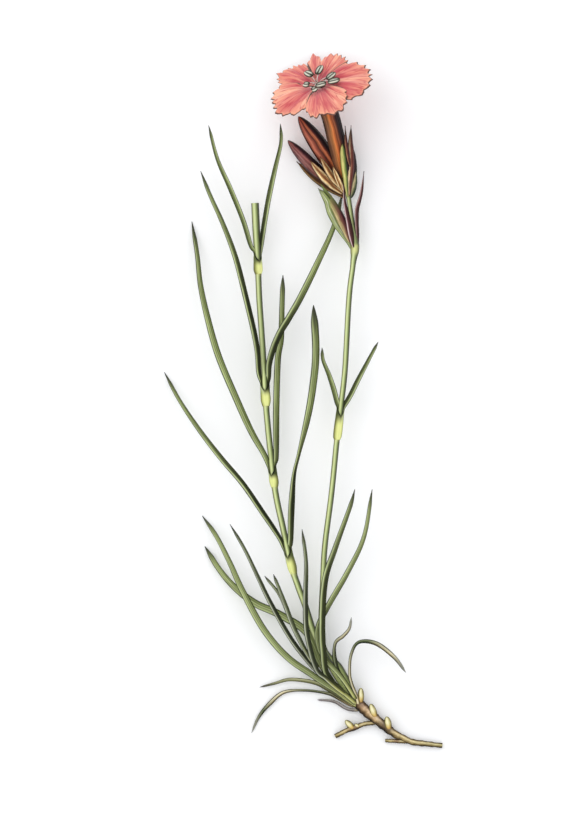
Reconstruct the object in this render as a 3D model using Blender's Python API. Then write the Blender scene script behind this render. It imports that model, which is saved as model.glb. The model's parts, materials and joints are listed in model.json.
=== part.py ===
# Dianthus plant, uprooted and lying on its back, about 175 mm long
#
# Metres, +Z up. The plant lies in the XY plane with its flower towards +Y.
# The origin is the small flat spot under the crown, where the roots meet the stems.
# Routes are written in millimetres, from root to tip, as (x, y, z).

from math import cos, exp, pi, radians, sin

import bmesh
import bpy
from mathutils import Vector

# Driving dimensions, in millimetres
MM = 0.001
GAP = 0.3                    # clearance between a piece and what carries it
BLADE = 0.6                  # thickness of a leaf or bract
PETAL = 0.64                 # thickness of a petal, along the flower's axis
STEM_RADIUS = 0.82           # leafy stem
SCAPE_RADIUS = 0.72          # flowering stem
SHEATH_RADIUS = 1.0          # middle of the wall where a leaf clasps its stem
SHEATH_FLARE = 0.25          # how much wider a sheath is at its top
NECK_RADIUS = SHEATH_RADIUS - BLADE / 2 - GAP    # stem inside a sheath
SHEATH_ANGLE = radians(80)   # half of the turn that one leaf of a pair takes up
CALYX_RADIUS = 2.2
CALYX_WALL = 0.5
PETAL_TEETH = 8
CLAW_CIRCLE = 1.0            # circle on which the petals' claws stand
CLAW = 0.52                  # thickness of a claw
PETAL_BEND = 1.3             # where a petal turns from its claw into its blade
CLAW_DEPTH = 5.0             # how far the claws reach down the calyx

# Colours seen on the plant, as linear red, green, blue
GREEN = (0.20, 0.27, 0.09)
GREY_GREEN = (0.15, 0.21, 0.09)
YELLOW_GREEN = (0.42, 0.48, 0.12)
STRAW = (0.55, 0.47, 0.26)
ROOT_BROWN = (0.46, 0.27, 0.11)
RED_BROWN = (0.26, 0.06, 0.03)
BROWN = (0.24, 0.12, 0.06)
PURPLE = (0.13, 0.05, 0.06)
PINK = (0.82, 0.21, 0.19)
OLIVE = (0.30, 0.28, 0.18)

UP = Vector((0, 0, 1))


def clear_scene():
    for obj in list(bpy.data.objects):
        bpy.data.objects.remove(obj, do_unlink=True)


def tissue(name, colour, roughness):
    mat = bpy.data.materials.new(name)
    mat.use_nodes = True
    shader = mat.node_tree.nodes["Principled BSDF"]
    shader.inputs["Base Color"].default_value = (*colour, 1)
    shader.inputs["Roughness"].default_value = roughness
    shader.inputs["Metallic"].default_value = 0
    return mat


def smooth(a, b, t):
    """0 below a, 1 above b, with a soft step between them."""
    t = min(1, max(0, (t - a) / (b - a)))
    return t * t * (3 - 2 * t)


def mix(a, b, t):
    return a + (b - a) * t


# Curves

def spline(points, count, crowd=1):
    """count points on a smooth curve through the given ones, closer at its start if crowd > 1."""
    pts = [Vector(p) for p in points]
    pts = [pts[0] * 2 - pts[1]] + pts + [pts[-1] * 2 - pts[-2]]
    fine = []
    for p0, p1, p2, p3 in zip(pts, pts[1:], pts[2:], pts[3:]):
        for k in range(12):
            t = k / 12
            fine.append(0.5 * (2 * p1 + (p2 - p0) * t + (2 * p0 - 5 * p1 + 4 * p2 - p3) * t ** 2
                               + (3 * p1 - p0 - 3 * p2 + p3) * t ** 3))
    fine.append(pts[-2])
    along = [0]
    for a, b in zip(fine, fine[1:]):
        along.append(along[-1] + (b - a).length)
    even = []
    k = 0
    for i in range(count):
        goal = along[-1] * (i / (count - 1)) ** crowd
        while k < len(fine) - 2 and along[k + 1] < goal:
            k += 1
        even.append(fine[k].lerp(fine[k + 1], (goal - along[k]) / (along[k + 1] - along[k])))
    return even


def tangent(path, i):
    return (path[min(i + 1, len(path) - 1)] - path[max(i - 1, 0)]).normalized()


def at_height(path, y):
    """The point of a stem at the given y, and the stem's direction there."""
    for i in range(len(path) - 1):
        a, b = path[i], path[i + 1]
        if a.y <= y <= b.y:
            return a.lerp(b, (y - a.y) / (b.y - a.y)), (b - a).normalized()
    return path[-1], tangent(path, len(path) - 1)


# Meshes

def finish(name, verts, faces, colour, roughness=0.6, on_floor=False):
    """A closed object from points in millimetres. What would sink in the floor is pressed flat."""
    mesh = bpy.data.meshes.new(name)
    if on_floor:
        verts = [Vector((v.x, v.y, max(v.z, 0))) for v in verts]
    mesh.from_pydata([v * MM for v in verts], [], faces)
    bm = bmesh.new()
    bm.from_mesh(mesh)
    bmesh.ops.recalc_face_normals(bm, faces=bm.faces)
    bm.to_mesh(mesh)
    bm.free()
    mesh.shade_smooth()
    mesh.set_sharp_from_angle(angle=radians(50))
    obj = bpy.data.objects.new(name, mesh)
    bpy.context.collection.objects.link(obj)
    mesh.materials.append(tissue(name, colour, roughness))
    return obj


def loft(rings):
    """Points and faces of a skin over rings of equal count, with flat ends."""
    sides = len(rings[0])
    verts = [v for ring in rings for v in ring]
    faces = [tuple(reversed(range(sides)))]
    for i in range(len(rings) - 1):
        for j in range(sides):
            k = (j + 1) % sides
            a, b = i * sides + j, i * sides + k
            c, d = b + sides, a + sides
            faces.append((a, b, c))
            faces.append((a, c, d))
    last = (len(rings) - 1) * sides
    faces.append(tuple(range(last, last + sides)))
    return verts, faces


def tube_rings(path, radius, sides=8, ribs=0.0):
    """Rings round a path. radius is a function of the way along it, from 0 to 1."""
    rings = []
    for i, p in enumerate(path):
        t = i / (len(path) - 1)
        along = tangent(path, i)
        side = along.cross(UP).normalized()
        top = side.cross(along)
        ring = []
        for j in range(sides):
            turn = 2 * pi * (j + 0.5) / sides
            r = radius(t) * (1 + ribs * (-1) ** j)
            ring.append(p + side * r * cos(turn) + top * r * sin(turn))
        rings.append(ring)
    return rings


def join(base, others):
    """One Boolean union of the pieces that grow from base."""
    group = bpy.data.collections.new("growths")
    bpy.context.scene.collection.children.link(group)
    for obj in others:
        bpy.context.collection.objects.unlink(obj)
        group.objects.link(obj)
    boolean = base.modifiers.new("growths", "BOOLEAN")
    boolean.operation = "UNION"
    boolean.operand_type = "COLLECTION"
    boolean.collection = group
    bpy.context.view_layer.update()
    joined = bpy.data.meshes.new_from_object(base.evaluated_get(bpy.context.evaluated_depsgraph_get()))
    base.modifiers.remove(boolean)
    base.data = joined
    joined.name = base.name
    for obj in others:
        bpy.data.objects.remove(obj, do_unlink=True)
    bpy.data.collections.remove(group)
    keep = base.material_slots[0].material
    joined.materials.clear()
    joined.materials.append(keep)
    return base


# Leaves and bracts

def blade_rings(path, width, curl, facing, thick, steps):
    """Cross-sections of a channelled blade.

    width, curl (radius of the channel) and facing (the way its inner face looks) are functions
    of the way along the blade, from 0 to 1.
    """
    rings = []
    for i, p in enumerate(path):
        t = i / (len(path) - 1)
        along = tangent(path, i)
        side = along.cross(facing(t)).normalized()
        inner = side.cross(along)
        bend = curl(t)
        centre = p + inner * bend
        half = width(t) / 2 / bend
        angles = [half * (2 * k / steps - 1) for k in range(steps + 1)]
        out, in_ = bend + thick / 2, bend - thick / 2
        ring = [centre + side * out * sin(a) - inner * out * cos(a) for a in angles]
        ring += [centre + side * in_ * sin(a) - inner * in_ * cos(a) for a in reversed(angles)]
        rings.append(ring)
    return rings


def grass_width(width, base=0.7, tip=0.36):
    """A long narrow leaf: narrower at its base, widest at a third, drawn out to a point."""
    def at(t):
        swell = mix(base, 1, smooth(0, 0.3, t))
        taper = (1 - smooth(0.35, 1.25, t)) * (1 - smooth(0.86, 1.02, t) * 0.75)
        return max(tip, width * swell * min(1, taper * 1.15))
    return at


def leaf(name, route, width, colour, root_faces=UP, tip_faces=UP, rings=13, floor=False):
    """A leaf that starts against what carries it."""
    path = spline(route, rings)
    facing = lambda t: Vector(root_faces).lerp(Vector(tip_faces), smooth(0, 0.5, t))
    sections = blade_rings(path, grass_width(width), lambda t: 1.6, facing, BLADE, 2)
    return finish(name, *loft(sections), colour, on_floor=floor)


def clasping_leaf(name, stem, foot, sheath, side, route, width, colour, rings=16, floor=False):
    """One leaf of a pair. Its base is half of the sheath that the pair makes round the stem."""
    low, along = at_height(stem, foot)
    high, onward = at_height(stem, foot + sheath)
    outward = side * along.cross(UP).normalized()
    flare = SHEATH_RADIUS + SHEATH_FLARE
    start = [low + outward * SHEATH_RADIUS, high + outward * flare]
    lead = high + onward * 2.2 + outward * (flare + 2 * SHEATH_FLARE)
    path = spline(start, 4)[:-1] + spline([start[1], lead] + [Vector(p) for p in route], rings - 3, 1.5)
    lengths = [(b - a).length for a, b in zip(path, path[1:])]
    gone = [sum(lengths[:i]) for i in range(rings)]
    place = lambda t: gone[round(t * (rings - 1))] / gone[-1]
    above = lambda t: gone[round(t * (rings - 1))] - sheath
    body = grass_width(width, base=0.85)
    ring = lambda t: SHEATH_RADIUS + SHEATH_FLARE * min(1, 1 + above(t) / sheath)
    wide = lambda t: mix(2 * ring(t) * SHEATH_ANGLE, body(place(t)), smooth(-0.2, 3.6, above(t)))
    curl = lambda t: mix(ring(t), 2.2, smooth(0, 6, above(t)))
    facing = lambda t: (-outward).lerp(UP, smooth(3, 16, above(t)))
    sections = blade_rings(path, wide, curl, facing, BLADE, 3)
    return finish(name, *loft(sections), colour, on_floor=floor)


def bract(name, route, width, colour, root_faces, tip_faces, curl=1.6, rings=8, belly=0.35,
          floor=False):
    """A broad scale, widest at belly of its length and drawn out into an awn."""
    path = spline(route, rings)

    def wide(t):
        along = 0.5 * t / belly if t < belly else 0.5 + 0.5 * (t - belly) / (0.96 - belly)
        return max(0.32, width * sin(pi * min(1, 0.16 + 0.84 * along)) ** 0.7)

    facing = lambda t: Vector(root_faces).lerp(Vector(tip_faces), t)
    sections = blade_rings(path, wide, lambda t: curl, facing, BLADE, 2)
    return finish(name, *loft(sections), colour, on_floor=floor)


def basal_pair():
    """Two young leaves that still stand together, joined below."""
    foot = [(-9.7, 8.8, 5.6), (-12.0, 11.5, 6.0), (-15.6, 18.4, 7.0)]
    long = leaf("basal_leaf_pair", foot + [(-18.3, 25.6, 8.2), (-20.9, 32.25, 9.4)], 1.3, GREEN)
    short = leaf("short_leaf", foot[1:] + [(-19.1, 26.6, 7.9), (-23.1, 31.8, 8.2)], 1.1, GREEN,
                 rings=9)
    return join(long, [short])


# Stems

LEAFY_ROUTE = [
    (-1.5, 2.0, 2.1), (-3.2, 4.3, 2.4), (-4.8, 6.5, 2.8), (-8.5, 12.75, 3.6),
    (-11.0, 18.25, 4.4), (-13.0, 24.5, 5.2), (-14.75, 29.25, 5.7), (-16.4, 34.5, 6.0),
    (-18.6, 44.25, 6.2), (-20.5, 53.5, 6.2), (-22.2, 68.25, 6.1), (-22.85, 76.25, 6.0),
    (-23.5, 87.75, 5.9), (-24.4, 100.75, 5.7), (-24.75, 109.0, 5.5), (-25.5, 125.0, 5.4)]
SCAPE_ROUTE = [
    (-0.6, 4.2, 1.5), (-4.4, 9.0, 1.2), (-8.0, 13.0, 1.4), (-8.9, 19.5, 2.6), (-8.5, 30.75, 4.4),
    (-8.0, 39.5, 5.4), (-6.35, 52.5, 6.2), (-5.1, 65.0, 6.5), (-4.1, 73.75, 6.5),
    (-3.0, 83.25, 6.3), (-2.0, 101.0, 5.6), (-1.0, 109.5, 5.0), (-0.5, 114.75, 4.6),
    (-1.25, 120.75, 4.1), (-2.15, 126.9, 3.7)]

# Sheaths: height of the foot, and length
LEAFY_SHEATHS = [(32.3, 4.4), (53.9, 3.2), (74.2, 4.0), (107.2, 3.3)]
SCAPE_SHEATHS = [(65.8, 6.0), (112.4, 3.0)]


def stem(name, path, radius, sheaths, colour, foot=None, top=None):
    """A round stem, drawn in where a sheath goes round it.

    foot and top are a radius and a length, where an end is thicker.
    """
    rows = []
    marks = sorted([y for start, long in sheaths
                    for y in (start - 2 * GAP, start - GAP, start + long + GAP, start + long + 6 * GAP)])
    inside = lambda y: any(start - 1.5 * GAP < y < start + long + 1.5 * GAP for start, long in sheaths)
    low, high = path[0].y, path[-1].y
    heights = [low + (high - low) * k / 30 for k in range(31)]
    heights = [y for y in heights if all(abs(y - m) > 0.6 for m in marks)]
    for y in sorted(heights + marks):
        point, along = at_height(path, y)
        r = NECK_RADIUS if inside(y) else radius
        if top and y > high - top[1]:
            r = mix(radius, top[0], smooth(high - top[1], high, y))
        if foot and y < low + foot[1]:
            r = mix(foot[0], radius, smooth(low, low + foot[1], y))
        side = along.cross(UP).normalized()
        up = side.cross(along)
        rows.append([point + side * r * cos(pi * j / 4) + up * r * sin(pi * j / 4) for j in range(8)])
    return finish(name, *loft(rows), colour, 0.5)


# Rootstock

CROWN_ROUTE = [(21.4, -10.85, 0.55), (17.5, -10.4, 0.65), (13.75, -9.9, 0.8), (11.25, -8.75, 0.85),
               (9.25, -7.75, 0.95), (5.75, -5.0, 1.2), (3.0, -2.75, 1.25), (0.9, -0.8, 1.15),
               (-0.7, 0.9, 1.15), (-1.2, 1.6, 1.7)]
CROWN_RADII = [0.5, 0.62, 0.75, 0.75, 0.85, 1.05, 1.1, 1.3, 1.35, 1.05]


def bud(name, foot, tip, radius):
    """A pointed oval bud."""
    path = spline([foot, tip], 6)
    oval = lambda t: radius * max(0.2, sin(pi * min(0.97, 0.2 + 0.78 * t)) ** 0.45)
    return finish(name, *loft(tube_rings(path, oval, sides=7)), STRAW)


def rootstock():
    """Crown, creeping rhizome with its cut branches, and the pale buds that stand on it."""
    path = spline(CROWN_ROUTE, 33)

    def radius(t):
        place = t * (len(CROWN_RADII) - 1)
        k = min(int(place), len(CROWN_RADII) - 2)
        scars = 0.06 * sin(t * 75) * (1 - smooth(0.75, 0.85, t))
        return mix(CROWN_RADII[k], CROWN_RADII[k + 1], place - k) * (1 + scars)

    body = finish("rootstock", *loft(tube_rings(path, radius, sides=8)), ROOT_BROWN, 0.8)
    left = spline([(5.2, -5.0, 1.3), (2.0, -5.4, 1.0), (0.0, -6.1, 0.85), (-2.25, -6.9, 0.8),
                   (-5.4, -8.5, 0.62)], 14)
    knob = lambda t: 0.58 + 0.22 * exp(-((t - 0.55) / 0.1) ** 2)
    low = spline([(13.2, -9.75, 0.8), (10.75, -9.75, 0.7), (7.1, -9.6, 0.55)], 7)
    growths = [
        finish("left_branch", *loft(tube_rings(left, knob, sides=7)), ROOT_BROWN),
        finish("low_branch", *loft(tube_rings(low, lambda t: mix(0.6, 0.42, t), sides=7)), ROOT_BROWN),
        bud("crown_bud", (1.0, 0.2, 2.2), (1.0, 4.0, 3.1), 0.82),
        bud("upper_bud", (4.7, -3.6, 1.8), (3.2, -0.1, 2.9), 0.85),
        bud("middle_bud", (8.1, -6.6, 1.5), (7.4, -3.5, 2.5), 0.85),
        bud("branch_bud", (-0.9, -6.5, 1.0), (-2.9, -4.5, 1.5), 0.72),
        bud("branch_scale", (0.6, -6.0, 1.0), (-0.6, -5.5, 1.4), 0.5)]
    body = join(body, growths)
    for vert in body.data.vertices:
        vert.co.z = max(vert.co.z, 0)
    return body


# Flower head

def calyx_rings(route, radius, rings=12, sides=10, ribs=0.05):
    return tube_rings(spline(route, rings), radius, sides, ribs)


def closed_bud(name, route, radius, colour):
    """A calyx that is still shut, ribbed and drawn to a point."""
    def swell(t):
        tip = max(0, 1 - max(0, (t - 0.45) / 0.55) ** 2) ** 0.8
        return radius * max(0.12, (0.3 + 0.7 * smooth(0, 0.45, t)) * tip)
    return finish(name, *loft(calyx_rings(route, swell)), colour, 0.5, on_floor=True)


OPEN_CALYX = [(-2.35, 127.6, 4.2), (-3.7, 134.5, 6.3), (-5.3, 141.25, 7.8), (-6.8, 147.0, 9.3),
              (-8.2, 150.9, 10.9)]
THROAT = Vector((-9.85, 154.25, 12.9))      # centre of the open flower
FLOWER_AXIS = Vector((-0.30, 0.74, 0.60)).normalized()
FLOWER_RIGHT = (Vector((1, 0, 0)) - FLOWER_AXIS * FLOWER_AXIS.x).normalized()
FLOWER_BACK = FLOWER_AXIS.cross(FLOWER_RIGHT)


def in_flower(x, y, h):
    """A point from the throat: x to the right, y away over the petals, h out along the axis."""
    return THROAT + FLOWER_RIGHT * x + FLOWER_BACK * y + FLOWER_AXIS * h


def open_calyx():
    """A ribbed tube, open at its five-toothed mouth, where the claws of the petals go in."""
    sides = 10
    mouth = THROAT - FLOWER_AXIS * 3.2
    route = OPEN_CALYX[:-1] + [mouth - FLOWER_AXIS * 1.2, mouth]
    path = spline(route, 15)
    outer = lambda t: CALYX_RADIUS * (0.3 + 0.7 * smooth(0, 0.35, t))
    rings = tube_rings(path, outer, sides, 0.04)
    lips = []
    for radius, tooth in ((CALYX_RADIUS, 1.5), (CALYX_RADIUS - CALYX_WALL, 1.2)):
        ring = []
        for j in range(sides):
            turn = 2 * pi * (j + 0.5) / sides
            height = tooth if j % 2 else 0.1
            centre = mouth + FLOWER_AXIS * height
            side = FLOWER_AXIS.cross(UP).normalized()
            ring.append(centre + (side * cos(turn) + side.cross(FLOWER_AXIS) * sin(turn)) * radius)
        lips.append(ring)
    bore = CALYX_RADIUS - CALYX_WALL
    floor = mouth - FLOWER_AXIS * (CLAW_DEPTH - 3.2 + GAP)
    inner = []
    for j in range(sides):
        turn = 2 * pi * (j + 0.5) / sides
        side = FLOWER_AXIS.cross(UP).normalized()
        inner.append(floor + (side * cos(turn) + side.cross(FLOWER_AXIS) * sin(turn)) * bore)
    return finish("open_calyx", *loft(rings + lips + [inner]), RED_BROWN, 0.5)


PETALS = [                     # name, turn of its middle, reach, half width
    ("petal_top", 70, 0.92, 0.98), ("petal_upper_left", 140, 0.98, 0.72),
    ("petal_lower_left", 208, 0.97, 0.82), ("petal_front", 283, 0.97, 0.78),
    ("petal_right", 353, 1.04, 1.22)]


def petal(name, turn, reach, breadth, order):
    """A claw that widens into a blade with a toothed edge."""
    columns = 2 * PETAL_TEETH
    rows = [               # way out from the axis, height, half width
        (CLAW_CIRCLE, -CLAW_DEPTH, 0.42), (CLAW_CIRCLE, -1.9, 0.42),
        (1.35, -0.75, 0.6), (2.2, -0.1, 1.2), (4.0, 0.35, 2.7),
        (6.4, 0.55, 4.6), (8.8, 0.55, 6.0), (10.9, 0.35, 6.6), (12.0, 0.1, 6.5)]
    angle = radians(turn)
    outward = Vector((cos(angle), sin(angle), 0))
    across = Vector((-sin(angle), cos(angle), 0))
    top, bottom = [], []
    for i, (far, height, half) in enumerate(rows):
        grown = smooth(1.5, 9, far)
        for k in range(columns + 1):
            u = 2 * k / columns - 1
            out = mix(far, far * reach, grown) - 1.9 * grown * u * u
            if i == len(rows) - 1:
                out += (0.75 if k % 2 else -0.35) * (1 - 0.25 * sin(3 * k + order))
            wide = u * half * mix(1, breadth, grown)
            wave = grown * 0.4 * sin(6 * u + order) * (1 - u * u) - 0.06 * grown * (far - 8)
            lean = -0.24 * wide * smooth(1.5, 4.0, far)
            spot = outward * out + across * wide
            step = outward * -CLAW / 2 if far < PETAL_BEND else Vector((0, 0, PETAL / 2))
            spot.z = height + wave + lean
            top.append(in_flower(*(spot + step)))
            bottom.append(in_flower(*(spot - step)))
    wide = columns + 1
    count = len(top)
    faces = []
    for i in range(len(rows) - 1):
        for k in range(columns):
            a, b, c, d = i * wide + k, i * wide + k + 1, (i + 1) * wide + k + 1, (i + 1) * wide + k
            halves = ((a, b, c), (a, c, d)) if (i + k) % 2 else ((a, b, d), (b, c, d))
            faces += halves
            faces += [tuple(count + n for n in reversed(half)) for half in halves]
    edge = list(range(wide)) + [i * wide + columns for i in range(1, len(rows))]
    edge += [(len(rows) - 1) * wide + k for k in reversed(range(columns))]
    edge += [i * wide for i in reversed(range(1, len(rows) - 1))]
    for a, b in zip(edge, edge[1:] + edge[:1]):
        faces += [(a, count + a, count + b), (a, count + b, b)]
    return finish(name, top + bottom, faces, PINK)


ANTHERS = [          # place to the right and to the back of the throat, turn, half length
    (-1.7, 2.8, -45, 1.2), (1.2, 3.8, 65, 1.25), (4.1, 0.5, 40, 1.1), (4.9, -2.0, 0, 1.2),
    (-2.3, -0.7, -20, 0.8), (1.4, -2.3, 0, 1.0), (-0.3, -3.5, 20, 0.7)]


def stamens():
    """Seven filaments with their anthers, on the column that stands among the claws."""
    core = [in_flower(0, 0, h) for h in (-CLAW_DEPTH, -3.5, -2, -0.4, 0.6)]
    body = finish("stamens", *loft(tube_rings(core, lambda t: 0.5, sides=8)), OLIVE)
    growths = []
    for k, (x, y, turn, half) in enumerate(ANTHERS):
        lift = 2.0 + 0.2 * sin(2.1 * k)
        head = in_flower(x, y, lift)
        lean = in_flower(x + half * cos(radians(turn)), y + half * sin(radians(turn)), lift) - head
        route = spline([in_flower(0, 0, -0.6), in_flower(x * 0.35, y * 0.35, lift * 0.7), head], 5)
        growths.append(finish("filament", *loft(tube_rings(route, lambda t: 0.3, sides=4)), OLIVE))
        anther = spline([head - lean, head + lean], 5)
        oval = lambda t: 0.55 * (0.5 + 0.5 * sin(pi * t))
        growths.append(finish("anther", *loft(tube_rings(anther, oval, sides=6)), OLIVE))
    return join(body, growths)


def flower_head():
    open_calyx()
    closed_bud("tall_bud", [(-3.4, 129.0, 2.4), (-5.7, 133.6, 2.3), (-9.9, 140.0, 4.2),
                            (-14.65, 146.6, 7.2)], 2.2, RED_BROWN)
    closed_bud("low_bud", [(-4.6, 128.6, 1.9), (-8.0, 131.4, 2.2), (-11.9, 135.0, 2.5),
                           (-17.3, 140.75, 3.2)], 1.6, PURPLE)
    closed_bud("right_bud", [(-1.5, 128.0, 2.3), (-1.3, 130.4, 1.7), (-1.25, 134.0, 1.05),
                             (-1.5, 139.7, 1.2)], 1.25, BROWN)
    bract("calyx_scale_front", [
        (-2.0, 127.2, 6.0), (-2.3, 131.0, 7.8), (-2.9, 135.5, 9.1), (-3.5, 139.9, 10.1)],
        1.6, GREEN, (-0.3, 0, -1), (-0.3, 0, -1), belly=0.62)
    bract("calyx_scale_right", [
        (-1.1, 129.0, 4.3), (-0.9, 133.0, 4.4), (-0.95, 138.0, 4.8), (-1.5, 144.4, 5.9)],
        1.5, BROWN, (-1, 0, -1), (-1, 0, -0.4), rings=10)
    bract("calyx_scale_awned", [
        (-0.6, 134.4, 7.4), (-1.5, 137.6, 8.3), (-2.3, 140.8, 9.1), (-2.7, 144.2, 9.6)],
        1.0, BROWN, (-1, 0, -0.3), (-1, 0, -0.2))
    bract("calyx_scale_left", [
        (-3.9, 129.0, 6.4), (-4.9, 131.6, 7.6), (-6.1, 134.4, 8.3)],
        1.5, STRAW, (0.6, 0, -1), (0.6, 0, -1), rings=7)
    bract("bud_scale_lower", [
        (-3.6, 126.9, 1.2), (-6.2, 128.9, 0.6), (-9.25, 130.7, 0.5), (-12.25, 133.0, 0.5),
        (-15.1, 135.6, 0.9)], 1.9, BROWN, (0.3, 0, 1), (0.3, 0, 1), rings=9, floor=True)
    bract("bud_scale_upper", [
        (-5.0, 128.9, 3.7), (-7.2, 130.6, 4.3), (-9.4, 132.8, 4.7), (-11.5, 135.4, 4.9)],
        1.9, STRAW, (0, 0, -1), (0, 0, -1))
    bract("bud_scale_inner", [
        (-5.0, 130.4, 5.1), (-6.4, 132.4, 5.6), (-7.8, 134.3, 5.9), (-9.0, 136.2, 6.2)],
        1.5, BROWN, (-0.4, 0, -1), (-0.4, 0, -1))
    bract("right_scale", [
        (-0.5, 127.7, 2.9), (0.1, 129.4, 2.5), (0.35, 131.0, 2.4), (0.15, 133.4, 2.5)],
        1.2, GREY_GREEN, (-0.3, 0, -1), (-0.3, 0, -1))
    for number, (turn_name, turn, reach, breadth) in enumerate(PETALS):
        petal(turn_name, turn, reach, breadth, number)
    stamens()


def main():
    clear_scene()
    leafy = spline(LEAFY_ROUTE, 120)
    scape = spline(SCAPE_ROUTE, 120)
    rootstock()
    stem("leafy_stem", leafy, STEM_RADIUS, LEAFY_SHEATHS, YELLOW_GREEN, foot=(1.05, 9))
    stem("flowering_stem", scape, SCAPE_RADIUS, SCAPE_SHEATHS, YELLOW_GREEN, top=(1.1, 2.5))

    left, right = -1, 1
    (n4, n3, n2, n1), (f, g) = LEAFY_SHEATHS, SCAPE_SHEATHS
    clasping_leaf("stem_leaf_1_left", leafy, *n4, left, [
        (-19.5, 41.5, 7.4), (-23.5, 47.5, 8.4), (-28.5, 54.75, 8.6), (-34.0, 61.25, 7.4),
        (-39.25, 68.0, 5.4), (-44.25, 75.4, 2.8), (-48.25, 82.75, 0.25)], 1.75, GREEN, floor=True)
    clasping_leaf("stem_leaf_1_right", leafy, *n4, right, [
        (-15.6, 41.5, 7.0), (-16.25, 48.5, 8.4), (-15.75, 56.75, 9.6), (-14.5, 62.5, 10.2),
        (-12.4, 71.25, 10.6), (-11.0, 79.5, 10.6), (-10.3, 88.0, 10.0), (-10.9, 99.5, 9.0)],
        1.9, GREEN)
    clasping_leaf("stem_leaf_2_left", leafy, *n3, left, [
        (-23.25, 62.25, 7.6), (-26.5, 68.0, 8.6), (-30.25, 76.25, 9.0), (-34.5, 86.4, 8.2),
        (-37.1, 95.25, 6.8), (-39.1, 104.25, 4.8), (-40.0, 112.25, 2.6), (-41.35, 120.5, 0.25)],
        1.75, GREY_GREEN, floor=True)
    clasping_leaf("stem_leaf_2_right", leafy, *n3, right, [
        (-20.2, 62.0, 6.2), (-20.2, 73.25, 5.6), (-19.8, 85.75, 5.2), (-19.0, 91.0, 5.0),
        (-18.75, 99.0, 5.2), (-18.5, 107.0, 6.0)], 1.4, GREY_GREEN)
    clasping_leaf("stem_leaf_3_left", leafy, *n2, left, [
        (-24.6, 83.0, 7.2), (-25.2, 90.0, 8.4), (-28.25, 103.25, 9.6), (-30.5, 111.75, 9.4),
        (-33.5, 119.75, 8.4), (-36.75, 127.0, 6.8), (-39.1, 133.0, 5.2)], 1.6, GREEN)
    clasping_leaf("stem_leaf_3_right", leafy, *n2, right, [
        (-21.6, 84.0, 7.4), (-20.25, 91.25, 8.2), (-17.5, 95.75, 8.4), (-13.0, 103.25, 7.4),
        (-9.5, 111.0, 5.4), (-5.85, 119.0, 3.0), (-4.3, 124.6, 2.0)], 1.75, GREY_GREEN)
    clasping_leaf("stem_leaf_4_left", leafy, *n1, left, [
        (-26.6, 114.5, 6.4), (-28.5, 120.75, 7.6), (-31.75, 128.75, 8.2), (-34.9, 136.0, 7.6),
        (-37.1, 144.4, 6.2)], 1.25, GREEN)
    clasping_leaf("stem_leaf_4_right", leafy, *n1, right, [
        (-23.3, 119.0, 7.2), (-22.0, 126.5, 9.0), (-20.4, 133.75, 10.6), (-19.0, 140.0, 11.8),
        (-19.15, 144.6, 12.6)], 1.25, GREY_GREEN)
    clasping_leaf("scape_leaf_left", scape, *f, left, [
        (-5.7, 78.0, 7.4), (-7.0, 82.0, 8.4), (-8.5, 85.75, 9.2), (-8.75, 88.8, 9.6)],
        1.1, GREEN, rings=12)
    clasping_leaf("scape_leaf_right", scape, *f, right, [
        (-1.6, 77.0, 7.4), (0.25, 80.75, 8.2), (3.0, 86.0, 9.4), (5.25, 90.25, 10.6)],
        1.1, GREY_GREEN, rings=12)

    # The tuft of basal leaves
    leaf("basal_leaf_1", [
        (-0.9, -0.3, 3.15), (-2.9, 1.1, 3.1), (-5.2, 2.9, 3.0), (-7.5, 4.4, 3.1),
        (-11.25, 7.0, 3.4), (-17.5, 11.5, 4.2), (-23.25, 18.25, 4.9), (-28.5, 27.75, 5.2),
        (-31.9, 35.25, 4.4), (-35.25, 41.75, 2.4),
        (-38.75, 46.75, 0.25)], 1.5, GREY_GREEN, floor=True, rings=15)
    leaf("basal_leaf_2", [
        (-5.4, 3.9, 1.5), (-6.6, 5.8, 1.7), (-9.3, 10.2, 2.2), (-11.0, 14.6, 2.5), (-13.5, 18.5, 2.8),
        (-20.25, 22.5, 2.9), (-25.25, 24.75, 2.8), (-30.25, 28.5, 2.4), (-34.25, 33.0, 1.6),
        (-38.1, 39.1, 0.25)], 1.9, GREEN, floor=True, rings=15)
    leaf("basal_leaf_3", [
        (-0.9, 0.6, 4.0), (-2.6, 1.9, 4.0), (-4.8, 3.7, 4.1), (-8.0, 6.4, 4.4),
        (-11.25, 9.25, 4.7), (-16.5, 16.0, 5.8), (-21.75, 25.25, 7.2), (-24.75, 31.5, 8.0),
        (-28.1, 38.5, 8.6), (-31.75, 44.75, 9.0)],
        1.3, GREY_GREEN)
    leaf("basal_leaf_4", [
        (-3.2, 2.2, 5.9), (-5.3, 3.8, 6.0), (-7.8, 6.2, 6.4), (-10.25, 8.75, 6.9),
        (-12.5, 17.25, 7.8), (-12.9, 25.75, 9.0), (-12.75, 35.25, 10.2),
        (-13.75, 43.5, 11.0)], 1.4, GREY_GREEN)
    leaf("basal_leaf_5", [
        (-1.7, 1.2, 4.9), (-3.5, 2.7, 4.9), (-5.8, 4.8, 5.1), (-7.6, 7.3, 5.6),
        (-8.25, 10.5, 6.2), (-8.75, 19.5, 7.0), (-8.0, 30.75, 8.6), (-5.4, 39.0, 10.4),
        (-1.75, 49.25, 13.0), (-0.6, 53.5, 14.2)],
        1.75, GREEN, rings=15)
    leaf("basal_leaf_6", [
        (-1.3, 3.0, 5.3), (-3.0, 5.2, 5.5), (-5.0, 7.8, 5.5), (-7.6, 10.6, 5.1),
        (-9.4, 13.75, 5.3), (-9.75, 18.75, 5.8), (-7.25, 24.25, 6.6), (-2.25, 33.0, 8.4),
        (1.75, 41.75, 10.0), (3.75, 53.5, 12.0)],
        1.5, GREEN, rings=15)

    basal_pair()

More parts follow.
